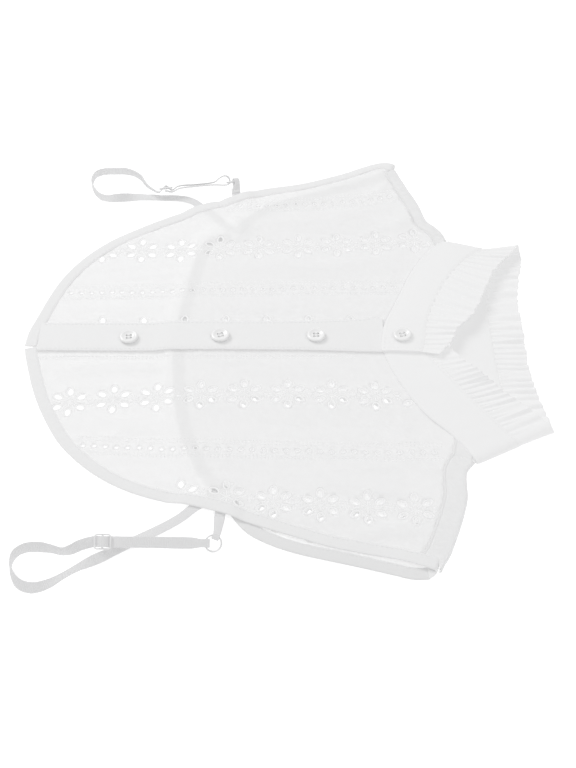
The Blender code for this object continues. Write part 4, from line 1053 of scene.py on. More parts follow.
def panel_surface(outline, cutwork, step):
    """Flat points and faces of a panel with its holes cut out."""
    outline = [tuple(p) for p in walk(outline + outline[:1], step)[:-1]]
    given = list(counterclockwise(outline))
    loops = [list(range(len(given)))]
    for hole in cutwork.holes:
        loops.append(list(range(len(given), len(given) + len(hole))))
        given += hole
    xs, ys = zip(*outline)
    rows = int((max(ys) - min(ys)) / (step * GRID_ROW)) + 1
    columns = int((max(xs) - min(xs)) / step) + 2
    grid = np.array([(min(xs) + (c + 0.5 * (r % 2)) * step, min(ys) + r * step * GRID_ROW)
                     for r in range(rows) for c in range(columns)])
    keep = inside(grid[:, 0], grid[:, 1], outline)
    grid = grid[keep]
    grid = grid[nearest(grid[:, 0], grid[:, 1], outline + outline[:1])[0] > step * 0.55]
    for cx, cy, reach in cutwork.centres:
        grid = grid[np.hypot(grid[:, 0] - cx, grid[:, 1] - cy) > reach]
    given += [tuple(p) for p in grid]
    flat = [Vector(p) for p in given]
    points, _, faces, _, _, owners = geometry.delaunay_2d_cdt(flat, [], loops, 1, 1e-5)
    faces = [tuple(face) for face, owner in zip(faces, owners) if list(owner) == [0]]
    used = sorted({i for face in faces for i in face})
    place = {old: new for new, old in enumerate(used)}
    flat = np.array([tuple(points[i]) for i in used])
    return flat, [tuple(place[i] for i in face) for face in faces]


def thicken(obj, wall):
    """Give a sheet its wall of cloth."""
    modifier = obj.modifiers.new("wall", "SOLIDIFY")
    modifier.thickness = wall * MM
    modifier.offset = 0.0
    return obj


def beside(points, line, side):
    """Signed distances from a front's neck seam, positive on the front's side."""
    points = np.asarray(points, float)
    gap, foot, way = nearest(points[:, 0], points[:, 1], line)
    turn = way[:, 0] * (points[:, 1] - foot[:, 1]) - way[:, 1] * (points[:, 0] - foot[:, 0])
    return np.copysign(gap, turn * side)


def front_outline(side):
    """Cut outline of one front, running on inside its binding and under the collar."""
    edge = right_edge if side > 0 else left_edge
    guide = right_guide if side > 0 else left_guide
    width = SHOULDER_WRAP[side] - roll_inset + 0.15
    lap = PLACKET_LAP if side > 0 else PLACKET_LAP - SEAM_GAP
    neck = inset(collar_front(side), -side * UNDER_BAND)
    hem = [p for p in inset(edge, -side * BINDING_TURN)
           if (p[1] - lap) * side > 1.0 and far_from(p, guide) > width + 0.5]
    seam = [p for p in inset(guide, side * width) if far_from(p, edge) > BINDING_TURN]
    seam = [p for p, gap in zip(seam, beside(seam, neck, side)) if gap > 0.5]
    neck = [p for p in neck if (p[1] - lap) * side > 1.0 and far_from(p, guide) > width + 0.5]
    return [(LAP_FOOT - 2.0, lap), (neck[0][0] - 0.3, lap)] + neck + seam + hem[::-1]


def front_panel(side, flowers, narrow, voile, satin):
    """One front of sheer cutwork cloth and its embroidery."""
    name = "front_right" if side > 0 else "front_left"
    outline = front_outline(side)
    cutwork = Cutwork(outline, lambda x, y: np.abs(y) > CUTWORK_CLEAR)
    cutwork.flowers(flowers)
    cutwork.eyelets(narrow)
    flat, faces = panel_surface(outline, cutwork, PANEL_STEP)
    points = np.column_stack([flat, front_cloth(flat[:, 0], flat[:, 1])])
    panel = thicken(make_piece(name + "_cloth", [(points, faces)], voile, (name,)), VOILE_WALL)
    return panel, cutwork.embroidery(name + "_embroidery", front_cloth, satin)


def flap_strip(side):
    """The back's flap over one shoulder, and the line and upward direction of its seam."""
    guide = right_guide if side > 0 else left_guide
    fold = right_fold if side > 0 else left_fold
    edge = right_edge if side > 0 else left_edge
    width = SHOULDER_WRAP[side] - roll_inset - 0.15
    top = math.pi * ROLL_RADIUS
    runs = [top * k / 8 for k in range(9)] + [top + width * k / 7 for k in range(1, 8)]
    size = len(runs)
    tip = np.array(guide[-1]) + unit(np.array(guide[-1]) - np.array(guide[-6])) * FLAP_TIP
    line = walk(guide + [tuple(tip)], LINE_STEP)
    points = []
    for number, ((x, y), (dx, dy)) in enumerate(zip(line, tangents(line))):
        out = np.array([dy * side, -dx * side, 0.0])
        pull = 0.22 * wobble(number * 2.9, 8 + side) + 0.2 * math.sin(number * 1.9)
        for run in runs:
            turn = min(run / ROLL_RADIUS, math.pi)
            share = max(run - top, 0.0) / width
            spot = np.array([x, y, WALL / 2]) + out * (ROLL_RADIUS * math.sin(turn) - share * width)
            spot[2] += ROLL_RADIUS * (1 - math.cos(turn)) + pull * math.sin(math.pi * min(share * 1.1, 1.0))
            points.append(spot)
    points = np.array(points)
    covered = beside(points, collar_front(side), side) < -UNDER_BAND
    bound = nearest(points[:, 0], points[:, 1], edge)[0] < BINDING_TURN - 1.5
    start = int(round(FLAP_GUIDE / LINE_STEP))
    faces = []
    for i in range(len(line) - 1):
        for k in range(size - 1):
            a = i * size + k
            flat = k >= 8
            hidden = flat and covered[a] and covered[a + size + 1] or bound[a] or bound[a + size]
            if not hidden and (flat or i >= start):
                faces.append((a, a + 1, a + size + 1, a + size))
    seams = [i * size + size - 1 for i in range(len(line))]
    seams = [i for i in seams if not covered[i] and not bound[i]]
    return (points, faces), [tuple(p) for p in fold], points[seams]


def back_panel(voile, dense, satin):
    """The back with its flaps over the shoulders, its embroidery and its shoulder seams."""
    right_strip, right_base, right_seam = flap_strip(1)
    left_strip, left_base, left_seam = flap_strip(-1)
    clear = BINDING_TURN + 1.5
    hem = [p for p in inset(back_hem, BINDING_TURN)
           if far_from(p, back_right_arm) > clear and far_from(p, back_left_arm) > clear]
    right_arm = [p for p in inset(back_right_arm, -BINDING_TURN)
                 if far_from(p, back_hem) > clear and far_from(p, right_shoulder) > binding_margin]
    left_arm = [p for p in inset(back_left_arm, BINDING_TURN)
                if far_from(p, back_hem) > clear and far_from(p, left_shoulder) > binding_margin]
    neck = [(row[0], row[1]) for row in
            collar_rows[(RIGHT_FOLD_ROW + 1) * COLLAR_SPANS:(LEFT_FOLD_ROW - 1) * COLLAR_SPANS + 1]]
    corners = [(x - 1.6, y + 1.6 * math.copysign(1, y)) for x, y in BACK_CORNERS]
    lower = left_arm[::-1] + [corners[1]] + hem[::-1] + [corners[0]] + right_arm
    outline = right_base[::-1] + inset(neck, UNDER_BAND) + left_base + lower
    cutwork = Cutwork(outline, lambda x, y: x > -200)
    cutwork.flowers(BACK_FLOWERS)
    cutwork.eyelets(BACK_NARROW)
    flat, faces = panel_surface(outline, cutwork, PANEL_STEP)
    body = (np.column_stack([flat, back_cloth(flat[:, 0], flat[:, 1])]), faces)
    panel = make_piece("back_cloth", [body, right_strip, left_strip], [voile, dense, dense],
                       ("back",))
    threads = cutwork.embroidery("back_embroidery", back_cloth, satin)
    seams = [welt(line, 1.6, 0.4) for line in (right_seam, left_seam)]
    return thicken(panel, VOILE_WALL), threads, make_piece("shoulder_seams", seams, dense)


def binding_strip(edge, inward, level, crest, seed):
    """Rounded strip of binding along an edge, with puckers, and its stitches."""
    outer = [tuple(p) for p in walk(edge, LINE_STEP)]
    inner = inset(outer, inward * BINDING_WIDTH)
    outer, inner = np.array(outer), np.array(inner)
    run = np.arange(len(outer)) * LINE_STEP
    sway = 0.16 * wobble(run * 1.1, seed)
    inner = inner + unit(inner - outer) * (0.14 * wobble(run * 2.3, seed + 1))[:, None]
    low = level(outer[:, 0], outer[:, 1])
    high = level(inner[:, 0], inner[:, 1])
    pucker = 0.08 * wobble(run * 3.1, seed + 2)
    sections = np.zeros((len(outer), len(strip_profile), 3))
    for k, (across, height) in enumerate(strip_profile):
        sections[:, k, :2] = outer + (inner - outer) * across
        waist = 1.0 - 0.16 * math.exp(-((across - 0.82) / 0.06) ** 2) - 0.05 * math.sin(across * 9)
        rise = height * BINDING_WALL / 2 * waist
        if height > 0:
            rise = rise + height * (pucker + 0.05 * sway)
        sections[:, k, 2] = low + (high - low) * across + BINDING_WALL / 2 + rise
    sewn = 0.84
    line = np.column_stack([outer + (inner - outer) * sewn,
                            low + (high - low) * sewn + BINDING_WALL - 0.06])
    threads = sewn_line(line[2:-3])
    if crest:
        last = sections[-1]
        along = np.mean(last, axis=0) - np.mean(sections[-2], axis=0)
        along = unit(np.array([along[0], along[1], 0.0]))
        turned = []
        for angle in (18, 36, 54, 72, 90):
            turn = math.radians(angle)
            section = last.copy()
            reach = np.abs(last[:, 2] - crest)
            section[:, 2] = crest + (last[:, 2] - crest) * math.cos(turn)
            section += along * (reach * math.sin(turn))[:, None]
            turned.append(section)
        sections = np.concatenate([sections, turned])
    return skin(sections), threads


def make_bindings(cloth, cloth_back_painted_shade, thread):
    """The five bindings and their stitching."""
    left = [p for p in left_edge if p[1] < RIGHT_EDGE[0][1] - FOOT_NOTCH]
    right_arm = [p for p in back_right_arm if math.dist(p, BACK_HEM[0]) > CORNER_GAP]
    left_arm = [p for p in back_left_arm if math.dist(p, BACK_HEM[-1]) > CORNER_GAP]

    def ground(x, y):
        return np.zeros(np.shape(x))

    made = {}
    ends = {}
    for number, (name, edge, inward, level, crest) in enumerate((
            ("binding_right", right_edge, -1, front_level, CREST_FRONT),
            ("binding_left", left, 1, front_level, CREST_FRONT),
            ("binding_back_hem", back_hem, 1, ground, None),
            ("binding_back_right", right_arm, -1, ground, CREST_BACK),
            ("binding_back_left", left_arm, 1, ground, CREST_BACK))):
        strip, threads = binding_strip(edge, inward, level, crest, number * 3)
        ends[name] = strip[0][-len(strip_profile):]
        # The back's bindings take the darker copy of the bias cotton, a painted shade
        look = cloth_back_painted_shade if "back" in name else cloth
        made[name] = [make_piece(name + "_tape", [strip], look, (name,)),
                      make_piece(name + "_stitches", threads, thread)]
    for front, back in (("binding_right", "binding_back_right"), ("binding_left", "binding_back_left")):
        start, end = ends[front], np.roll(ends[back][::-1], 1, axis=0)
        out = unit(np.array([1.0, 0.1 * np.sign(start[0][1]), 0.0]))
        turn = [start + (end - start) * share + out * 0.9 * math.sin(math.pi * share)
                for share in np.linspace(0.0, 1.0, 9)]
        made[front].append(make_piece(front + "_turn", [skin(turn)], cloth))
    return made


def placket_level(x, low, high):
    """Underside of the placket, a seam gap above the highest cloth under it."""
    ys = np.linspace(low, high, 7)
    spots = front_level(np.concatenate([np.full(7, x - 2.0), np.full(7, x + 2.0)]), np.tile(ys, 2))
    return float(spots.max()) + WALL + SEAM_GAP


def button_pull(x, y):
    """Height of the small pulls in the placket round each button."""
    height = np.zeros(np.shape(y))
    for number, bx in enumerate(PLACKET_BUTTON_X):
        gap = np.hypot(x - bx, y - PLACKET_BUTTON_Y)
        turn = np.arctan2(y - PLACKET_BUTTON_Y, x - bx)
        rays = np.cos(2 * (turn - PULL_TURNS[number])) ** 3
        height += 0.22 * rays * fade((gap - 3.5) / 3.0) * (1 - fade((gap - 6.0) / 7.0))
    return height


def make_placket(cloth, thread):
    """The buttonhole placket: a flat folded band with its edge stitching."""
    x, low, high = PLACKET_EDGES[0]
    head = (x - PLACKET_HEAD, low, high)
    x, low, high = PLACKET_EDGES[-1]
    tail = (x + PLACKET_TAIL, low, high)
    rows = walk(smooth((head,) + PLACKET_EDGES + (tail,), 12), 1.6)
    across = np.concatenate([[0.0, 0.008, 0.03], np.linspace(0.07, 0.93, 21), [0.97, 0.992, 1.0]])
    rise = np.concatenate([[0.0, 0.55, 0.9], np.ones(21), [0.9, 0.55, 0.0]])
    levels = np.array([placket_level(x, low, high) for x, low, high in rows])
    levels = np.convolve(np.pad(levels, 3, mode="edge"), np.ones(7) / 7, mode="valid")
    sections = []
    for (x, low, high), level in zip(rows, levels):
        low += 0.12 * float(wobble(x * 1.3, 3))
        high += 0.14 * float(wobble(x * 1.1, 4))
        ys = low + (high - low) * across
        sewn = (np.exp(-(((ys - low) - PLACKET_SEAM) / 0.5) ** 2)
                + np.exp(-(((high - ys) - PLACKET_SEAM) / 0.5) ** 2))
        relief = button_pull(x, ys) - 0.2 * sewn + 0.05 * wobble(x * 0.9 + ys * 0.4, 5)
        top = level + PLACKET_WALL / 2 + rise * (PLACKET_WALL / 2 + np.where(rise > 0.8, relief, 0.0))
        under = level + PLACKET_WALL / 2 - rise[::-1] * PLACKET_WALL / 2
        upper = np.column_stack([np.full(len(ys), x), ys, top])
        lower = np.column_stack([np.full(len(ys), x), ys[::-1], under])[1:-1]
        sections.append(np.concatenate([upper, lower]))
    threads = []
    for column, inward in ((1, PLACKET_SEAM), (2, -PLACKET_SEAM)):
        line = np.column_stack([rows[:, 0], rows[:, column] + inward, levels + PLACKET_WALL - 0.12])
        threads += sewn_line(line[2:-2])
    for bx in PLACKET_BUTTON_X:
        level = float(np.interp(bx, rows[:, 0], levels)) + PLACKET_WALL
        for step in range(-11, 12):
            spot = (bx + 0.62 * step, PLACKET_BUTTON_Y - 0.9 * math.copysign(1, step % 2 - 0.5), level)
            threads.append(lozenge(spot, (0, 1, 0), (0, 0, 1), 1.5, 0.5, 0.2))
    return [make_piece("placket_cloth", [skin(sections)], cloth, ("placket",)),
            make_piece("placket_stitches", threads, thread)]


def collar_frame(rows, low, high):
    """Lower points, upper points and outward normals of the collar rows."""
    rows = np.asarray(rows, float)
    lows, highs = rows[:, low:low + 3], rows[:, high:high + 3]
    along = np.gradient((lows + highs) / 2, axis=0)
    return lows, highs, unit(np.cross(highs - lows, along))


def band_point(lows, highs, normals, share):
    """Points on the band's middle surface at a share of its width."""
    crown = BAND_CROWN * np.maximum(highs[:, 2] - lows[:, 2], 0.0) * math.sin(math.pi * share)
    return lows + (highs - lows) * share + normals * crown[:, None]


def above_floor(sections):
    """Sections lifted where they would reach below the surface."""
    drop = np.minimum(sections[:, :, 2].min(axis=1), 0.0)
    sections[:, :, 2] -= drop[:, None]
    return sections


def make_band(cloth, thread):
    """The stand band, one strip round the neck with its right end over its left end."""
    rows = walk_collar(smooth(COLLAR, 12), BAND_STEP)
    lows, highs, normals = collar_frame(rows, 0, 3)
    run = np.arange(len(rows)) * BAND_STEP
    front = []
    back = []
    for share, fill in BAND_PROFILE:
        middle = band_point(lows, highs, normals, share)
        crease = 0.10 * wobble(run * 0.5 + share * 3.0, 7) * math.sin(math.pi * share)
        sewn = sum(math.exp(-((share - seam) / 0.022) ** 2) for seam in BAND_SEAMS)
        face = fill * (BAND_WALL / 2 - 0.16 * sewn) + (crease if fill == 1.0 else 0.0)
        front.append(middle + normals * np.reshape(face, (-1, 1)))
        back.append(middle - normals * (fill * BAND_WALL / 2))
    sections = np.stack(front + back[-2:0:-1], axis=1)
    threads = []
    for share in BAND_SEAMS:
        line = band_point(lows, highs, normals, share) + normals * (BAND_WALL / 2 - 0.12)
        threads += sewn_line(line[2:-2], normals[2:-2])
    for number in (2, 6, 9):
        line = np.array([band_point(lows, highs, normals, s)[number] for s in np.linspace(0.08, 0.92, 9)])
        ups = np.tile(normals[number], (9, 1))
        if number == 9:
            line = line[:5]
            ups = ups[:5]
        threads += sewn_line(line + ups * (BAND_WALL / 2 - 0.08), ups)
    return [make_piece("collar_band_cloth", [skin(above_floor(sections))], cloth,
                       ("collar_band",)),
            make_piece("collar_band_stitches", threads, thread)]


def walk_collar(rows, step):
    """Collar rows picked anew at equal steps along the middle of the ruffle."""
    rows = np.array(rows)
    middles = (rows[:, 3:6] + rows[:, 6:9]) / 2
    travel = np.concatenate([[0.0], np.cumsum(np.linalg.norm(np.diff(middles, axis=0), axis=1))])
    goals = np.linspace(0.0, travel[-1], int(round(travel[-1] / step)) + 1)
    return np.stack([np.interp(goals, travel, rows[:, k]) for k in range(rows.shape[1])], -1)


def make_ruffle(cloth):
    """The ruffle, gathered to the band's top edge and waving more towards its free edge."""
    rows = walk_collar(smooth(COLLAR, 12), RUFFLE_STEP)
    seams, frees, normals = collar_frame(rows, 3, 6)
    share = np.linspace(0.0, 1.0, len(rows))
    turns = RUFFLE_WAVES * share + WAVE_DRIFT * np.sin(WAVE_DRIFT_TURNS * math.pi * share)
    uneven = 0.66 + 0.44 * wobble(share * 170.0, 11)
    swing = np.sin(2 * math.pi * turns) + 0.22 * np.sin(4 * math.pi * turns + 0.8)
    wave = 0.75 * rows[:, 9] * uneven * swing
    pleat = 0.3 * np.sin(2 * math.pi * turns * 2.0 + 1.1) + 0.18 * np.sin(2 * math.pi * turns * 3.1)
    along = unit(np.gradient(seams + frees, axis=0))
    out = unit(frees - seams)
    scallop = 0.45 * wobble(share * 520.0, 12) * np.minimum(rows[:, 9], 1.0)
    lean = 0.5 * rows[:, 9] * np.cos(2 * math.pi * turns)
    half = RUFFLE_SHELL / 2
    columns = []
    for reach in RUFFLE_COLUMNS:
        spread = GATHER_START + (1 - GATHER_START) * fade(reach * 1.05) ** 0.8
        middle = seams + (frees - seams) * reach + out * (scallop * reach ** 3)[:, None]
        middle = middle + normals * (wave * spread)[:, None] + along * (lean * reach ** 2)[:, None]
        middle = middle + normals * (pleat * (1 - reach) ** 2 * np.minimum(rows[:, 9], 1.0))[:, None]
        columns.append(middle)
    columns = np.stack(columns, axis=1)
    across = np.gradient(columns, axis=1)
    run = np.gradient(columns, axis=0)
    faces_out = unit(np.cross(across, run))
    wall = np.full(len(RUFFLE_COLUMNS), half)
    wall[-3:] = (half * 1.5, half * 1.9, half * 1.2)
    upper = columns + faces_out * wall[None, :, None]
    lower = columns - faces_out * wall[None, :, None]
    sections = np.concatenate([upper, lower[:, ::-1]], axis=1)
    return make_piece("collar_ruffle_cloth", [skin(above_floor(sections))], cloth,
                      ("collar_ruffle",), 70)


def button_surface(radius):
    """Heights of a button's face and underside at a radius."""
    return np.interp(radius, *zip(*BUTTON_FACE)), np.interp(radius, *zip(*BUTTON_UNDER))


def make_button(name, centre, normal, turn, plastic, thread):
    """A dished button with a broad rounded rim, four holes and its sewing thread."""
    radius = BUTTON_DIAMETER / 2
    ring = [2 * math.pi * k / BUTTON_SIDES for k in range(BUTTON_SIDES)]
    given = [(radius * math.cos(a), radius * math.sin(a)) for a in ring]
    loops = [list(range(BUTTON_SIDES))]
    spots = []
    for quarter in range(4):
        angle = turn + math.pi / 4 + quarter * math.pi / 2
        x, y = BUTTON_HOLE_REACH * math.cos(angle), BUTTON_HOLE_REACH * math.sin(angle)
        spots.append((x, y))
        loops.append(list(range(len(given), len(given) + HOLE_SIDES)))
        given += [(x + BUTTON_HOLE * math.cos(math.pi * k / 6), y + BUTTON_HOLE * math.sin(math.pi * k / 6))
                  for k in range(HOLE_SIDES)]
    for reach in BUTTON_RINGS:
        count = max(int(reach * 8), 8)
        given += [(reach * math.cos(2 * math.pi * k / count), reach * math.sin(2 * math.pi * k / count))
                  for k in range(count)]
    flat, _, faces, _, _, owners = geometry.delaunay_2d_cdt([Vector(p) for p in given], [], loops, 1, 1e-5)
    faces = [tuple(f) for f, o in zip(faces, owners) if list(o) == [0]]
    flat = np.array([tuple(p) for p in flat])
    face, under = button_surface(np.hypot(flat[:, 0], flat[:, 1]))
    count = len(flat)
    points = np.concatenate([np.column_stack([flat, face]), np.column_stack([flat, under])])
    edges = {}
    for f in faces:
        for a, b in zip(f, f[1:] + f[:1]):
            edges[tuple(sorted((a, b)))] = edges.get(tuple(sorted((a, b))), 0) + 1
    walls = [(a, b, b + count, a + count) for (a, b), uses in edges.items() if uses == 1]
    faces = faces + [tuple(i + count for i in f[::-1]) for f in faces] + walls
    turned = np.array(Vector((0, 0, 1)).rotation_difference(Vector(normal)).to_matrix())
    centre = np.asarray(centre, float)
    threads = []
    for a, b in ((0, 1), (1, 2), (2, 3), (3, 0)) if turn > 0.2 else ((0, 1), (3, 2)):
        start, end = np.array((*spots[a], 1.2)), np.array((*spots[b], 1.2))
        middle = (start + end) / 2 + np.array([0, 0, 0.28])
        line = np.array([start - [0, 0, 0.9], start + (middle - start) * 0.35 + [0, 0, 0.14], middle,
                         end + (middle - end) * 0.35 + [0, 0, 0.14], end - [0, 0, 0.9]])
        thread_points, thread_faces = tube(smooth(line, 4), 0.3, 6, False, [0.3, 0.2, 1.0], 0.24)
        threads.append((thread_points @ turned.T + centre, thread_faces))
    return [make_piece(name + "_disc", [(points @ turned.T + centre, faces)], plastic, (name,), 50),
            make_piece(name + "_thread", threads, thread)]


def make_buttons(plastic, thread):
    """Three buttons on the placket and one on the band."""
    made = []
    for number, x in enumerate(PLACKET_BUTTON_X, start=1):
        reach = BUTTON_DIAMETER / 2
        level = max(placket_level(x + dx, -13.0, 13.0) for dx in (-reach, 0.0, reach))
        centre = (x, PLACKET_BUTTON_Y, level + PLACKET_WALL + SEAM_GAP)
        made += make_button(f"button_{number}", centre, (0, 0, 1), BUTTON_TURNS[number - 1], plastic, thread)
    x, y = BAND_BUTTON
    lows, highs, normals = collar_frame(collar_rows, 0, 3)
    place = int(np.argmin(np.abs((lows[:4 * COLLAR_SPANS, 1] + highs[:4 * COLLAR_SPANS, 1]) / 2 - y)))
    low, high, normal = lows[place], highs[place], normals[place]
    share = (x - low[0]) / (high[0] - low[0])
    middle = low + (high - low) * share
    crown = 2 * min(share, 1 - share) * BAND_CROWN * (high[2] - low[2])
    top = np.array([x, y, middle[2]]) + normal * (BAND_WALL / 2 + crown + SEAM_GAP)
    made += make_button("button_4", top, normal, BUTTON_TURNS[3], plastic, thread)
    return made


def ribbed_tape(rows, spans):
    """A cross-ribbed elastic tape through rows of middle, width direction and width."""
    turned = [rows[0]]
    for row in rows[1:]:
        way = 1 if Vector(row[3:6]).dot(Vector(turned[-1][3:6])) >= 0 else -1
        turned.append((*row[:3], way * row[3], way * row[4], way * row[5], row[6]))
    rows = walk(smooth(turned, spans), RIB_PITCH / 3)
    along = tangents(rows[:, :3])
    across = rows[:, 3:6] - along * np.sum(rows[:, 3:6] * along, axis=1, keepdims=True)
    across = unit(across)
    face = np.cross(along, across)
    run = np.arange(len(rows)) * RIB_PITCH / 3
    rib = RIB_RISE * np.cos(2 * math.pi * run / RIB_PITCH)
    width = rows[:, 6] * (1 + 0.012 * wobble(run, 2)) + 0.12 * np.cos(2 * math.pi * run / RIB_PITCH)
    sections = []
    for share, height in tape_profile:
        lift = height * (STRAP_WALL / 2 - RIB_RISE) + np.sign(height) * rib * (abs(height) > 0.5)
        sections.append(rows[:, :3] + across * (share * width / 2)[:, None]
                        + face * np.reshape(lift, (-1, 1)))
    return skin(above_floor(np.stack(sections, axis=1)))


def hidden_rows(line):
    """Rows of a tape that lies just under a front along a line."""
    rows = []
    for i, (x, y) in enumerate(line):
        ax, ay = line[max(i - 1, 0)]
        bx, by = line[min(i + 1, len(line) - 1)]
        across = Vector((ay - by, bx - ax, 0)).normalized()
        half = across * (STRAP_WIDTH / 2)
        level = float(front_level(x + half.x * np.array([-1, 0, 1]), y + half.y * np.array([-1, 0, 1])).min())
        rows.append((x, y, level - SEAM_GAP - STRAP_WALL / 2, *across, STRAP_WIDTH))
    return rows


def strap_rows(hidden, loop, slider, ring, side):
    """Course of a strap: from the back's corner round its loop, through the slider and the ring."""
    along, across, off = strap_frame(slider, ring, side)
    start = Vector(slider)
    length = (Vector(ring) - start).length
    apex = length - math.sqrt(RING_RADIUS ** 2 - (RING_TAPE / 2) ** 2) + WIRE_DIAMETER / 2 + 1.0
    layer = (STRAP_WALL + SEAM_GAP) / 2
    # Columns: distance along from the slider, offset off the face, width
    course = [
        (-SLIDER_PITCH - 0.6, -2.1, STRAP_WIDTH),
        (0.0, 1.6, STRAP_WIDTH),
        (SLIDER_PITCH, -1.5, STRAP_WIDTH),
        (SLIDER_PITCH + 4.5, layer, STRAP_WIDTH),
        (length * 0.42, layer, STRAP_WIDTH),
    ]
    for distance, height in RING_COURSE[side]:
        course.append((apex + distance, height, RING_TAPE if distance > -6.0 else STRAP_WIDTH))
    course += [
        (length * 0.42, -layer, STRAP_WIDTH),
        (SLIDER_PITCH + 5.2, -layer - 0.4, STRAP_WIDTH),
        (SLIDER_PITCH, -2.9, STRAP_WIDTH),
        (0.9, -2.1, STRAP_WIDTH),
        (-0.8, -1.6, STRAP_WIDTH),
    ]
    rows = hidden_rows(hidden)
    rows += [(*row, STRAP_WIDTH) for row in loop]
    for distance, height, width in course:
        rows.append((*(start + along * distance + off * height), *across, width))
    return rows


def tab_rows(line, slider, ring, side):
    """Course of a tab: from under the front's edge round the ring's wire and back to the edge."""
    along, across, off = strap_frame(slider, ring, side)
    lean = math.radians(TAB_LEAN)
    outward = along * math.cos(lean) + across * math.sin(lean)
    wire = Vector(ring) + outward * (RING_RADIUS - 0.33)
    width_dir = along * math.sin(lean) - across * math.cos(lean)
    rows = hidden_rows(line)
    edge = Vector(rows[-1][:3])
    leg = edge + Vector((0, 0, TAB_RISE / 2)) - wire
    away = Vector((-leg.x, -leg.y, 0)).normalized()
    leg = (leg - width_dir * leg.dot(width_dir)).normalized()
    face = leg.cross(width_dir)
    face = face if face.dot(off) > 0 else -face
    rows.append((*(edge + away * 1.8), *rows[-1][3:6], STRAP_WIDTH))
    # Columns: distance towards the garment, offset off the face
    for reach, height in ((2.8, -1.1), (0.0, -1.0), (-0.7, -0.7), (-1.0, 0.0), (-0.7, 0.7),
                          (0.0, 1.0), (2.8, 1.1)):
        reach = reach if reach > 0 else reach * TAB_WRAP
        middle = wire + leg * reach + face * height * (TAB_WRAP if reach <= 0 else 1.2)
        rows.append((*middle, *width_dir, TAB_RING_WIDTH))
    rows.append((*(edge + away * 1.8 + Vector((0, 0, TAB_RISE))), *rows[1][3:6], STRAP_WIDTH))
    return rows


def tube(line, radius, sides, closed, ups, height=None):
    """A tube along a line of points, round unless it is given a height of its own."""
    line = np.asarray(line, float)
    if closed:
        way = unit(np.roll(line, -1, axis=0) - np.roll(line, 1, axis=0))
    else:
        way = tangents(line)
    side = unit(np.cross(way, ups))
    top = np.cross(side, way)
    angles = np.linspace(0, 2 * math.pi, sides + 1)[:-1]
    rings = (line[:, None] + side[:, None] * (radius * np.cos(angles))[None, :, None]
             + top[:, None] * ((height or radius) * np.sin(angles))[None, :, None])
    return skin(rings, closed=closed)


def make_hardware(side, plastic, enamel):
    """The three-bar slider and the wire ring of one side."""
    slider, ring = (SLIDER_RIGHT, RING_RIGHT) if side > 0 else (SLIDER_LEFT, RING_LEFT)
    word = "right" if side > 0 else "left"
    along, across, off = (np.array(v) for v in strap_frame(slider, ring, side))
    turns = np.linspace(0, 2 * math.pi, 49)[:-1]
    circle = np.array(ring) + RING_RADIUS * (np.cos(turns)[:, None] * along + np.sin(turns)[:, None] * across)
    made = [make_piece("ring_" + word + "_wire", [tube(circle, WIRE_DIAMETER / 2, 12, True, off)], enamel,
                       ("ring_" + word,))]
    corner = SLIDER_CORNER - BAR_DIAMETER / 2
    loop = []
    for quarter in range(4):
        sx = 1 if quarter in (0, 3) else -1
        sy = 1 if quarter in (0, 1) else -1
        for step in range(6):
            angle = math.radians(90 * quarter + 18 * step)
            x = sx * (SLIDER_PITCH - corner) + corner * math.cos(angle)
            y = sy * (SLIDER_HALF_WIDTH - corner) + corner * math.sin(angle)
            loop.append(np.array(slider) + along * x + across * y)
    bar = [np.array(slider) + across * SLIDER_HALF_WIDTH * s for s in np.linspace(-1, 1, 9)]
    frame_tube = tube(loop, BAR_DIAMETER / 2, 10, True, off)
    made.append(make_piece("slider_" + word + "_frame",
                           [frame_tube, tube(bar, BAR_DIAMETER / 2, 10, False, off)], plastic,
                           ("slider_" + word,)))
    return made


def bartack(centre, along, up, length, width):
    """A dense zigzag tack across a tape's end."""
    centre, along, up = (np.asarray(v, float) for v in (centre, along, up))
    across = unit(np.cross(up, along))
    skins = []
    count = int(length / 0.45)
    for k in range(count):
        spot = centre + along * (k - (count - 1) / 2) * 0.45
        way = unit(across + along * (0.12 if k % 2 else -0.12))
        skins.append(lozenge(spot, way, up, width, 0.46, 0.3))
    return skins


def make_straps(elastic, thread, plastic, enamel):
    """Both straps with their tabs, rings, sliders and tacks."""
    made = {}
    for side, word, hidden, loop, tab in (
            (1, "right", STRAP_HIDDEN_RIGHT, STRAP_LOOP_RIGHT, TAB_RIGHT),
            (-1, "left", STRAP_HIDDEN_LEFT, STRAP_LOOP_LEFT, TAB_LEFT)):
        slider, ring = (SLIDER_RIGHT, RING_RIGHT) if side > 0 else (SLIDER_LEFT, RING_LEFT)
        rows = strap_rows(hidden, loop, slider, ring, side)
        strap = make_piece("strap_" + word + "_tape", [ribbed_tape(rows, 10)], elastic,
                           ("strap_" + word,))
        rows = tab_rows(tab, slider, ring, side)
        tab_piece = make_piece("tab_" + word + "_tape", [ribbed_tape(rows, 8)], elastic,
                               ("tab_" + word,))
        end = np.array(rows[-1][:3]) + [0, 0, STRAP_WALL / 2]
        inward = unit(np.array([tab[0][0] - tab[1][0], tab[0][1] - tab[1][1], 0.0]))
        tack = bartack(end + inward * 0.6, inward, (0, 0, 1.0), 1.6, STRAP_WIDTH * 0.9)
        made[word] = [strap, tab_piece, make_piece("tab_" + word + "_tack", tack, thread),
                      *make_hardware(side, plastic, enamel)]
    return made


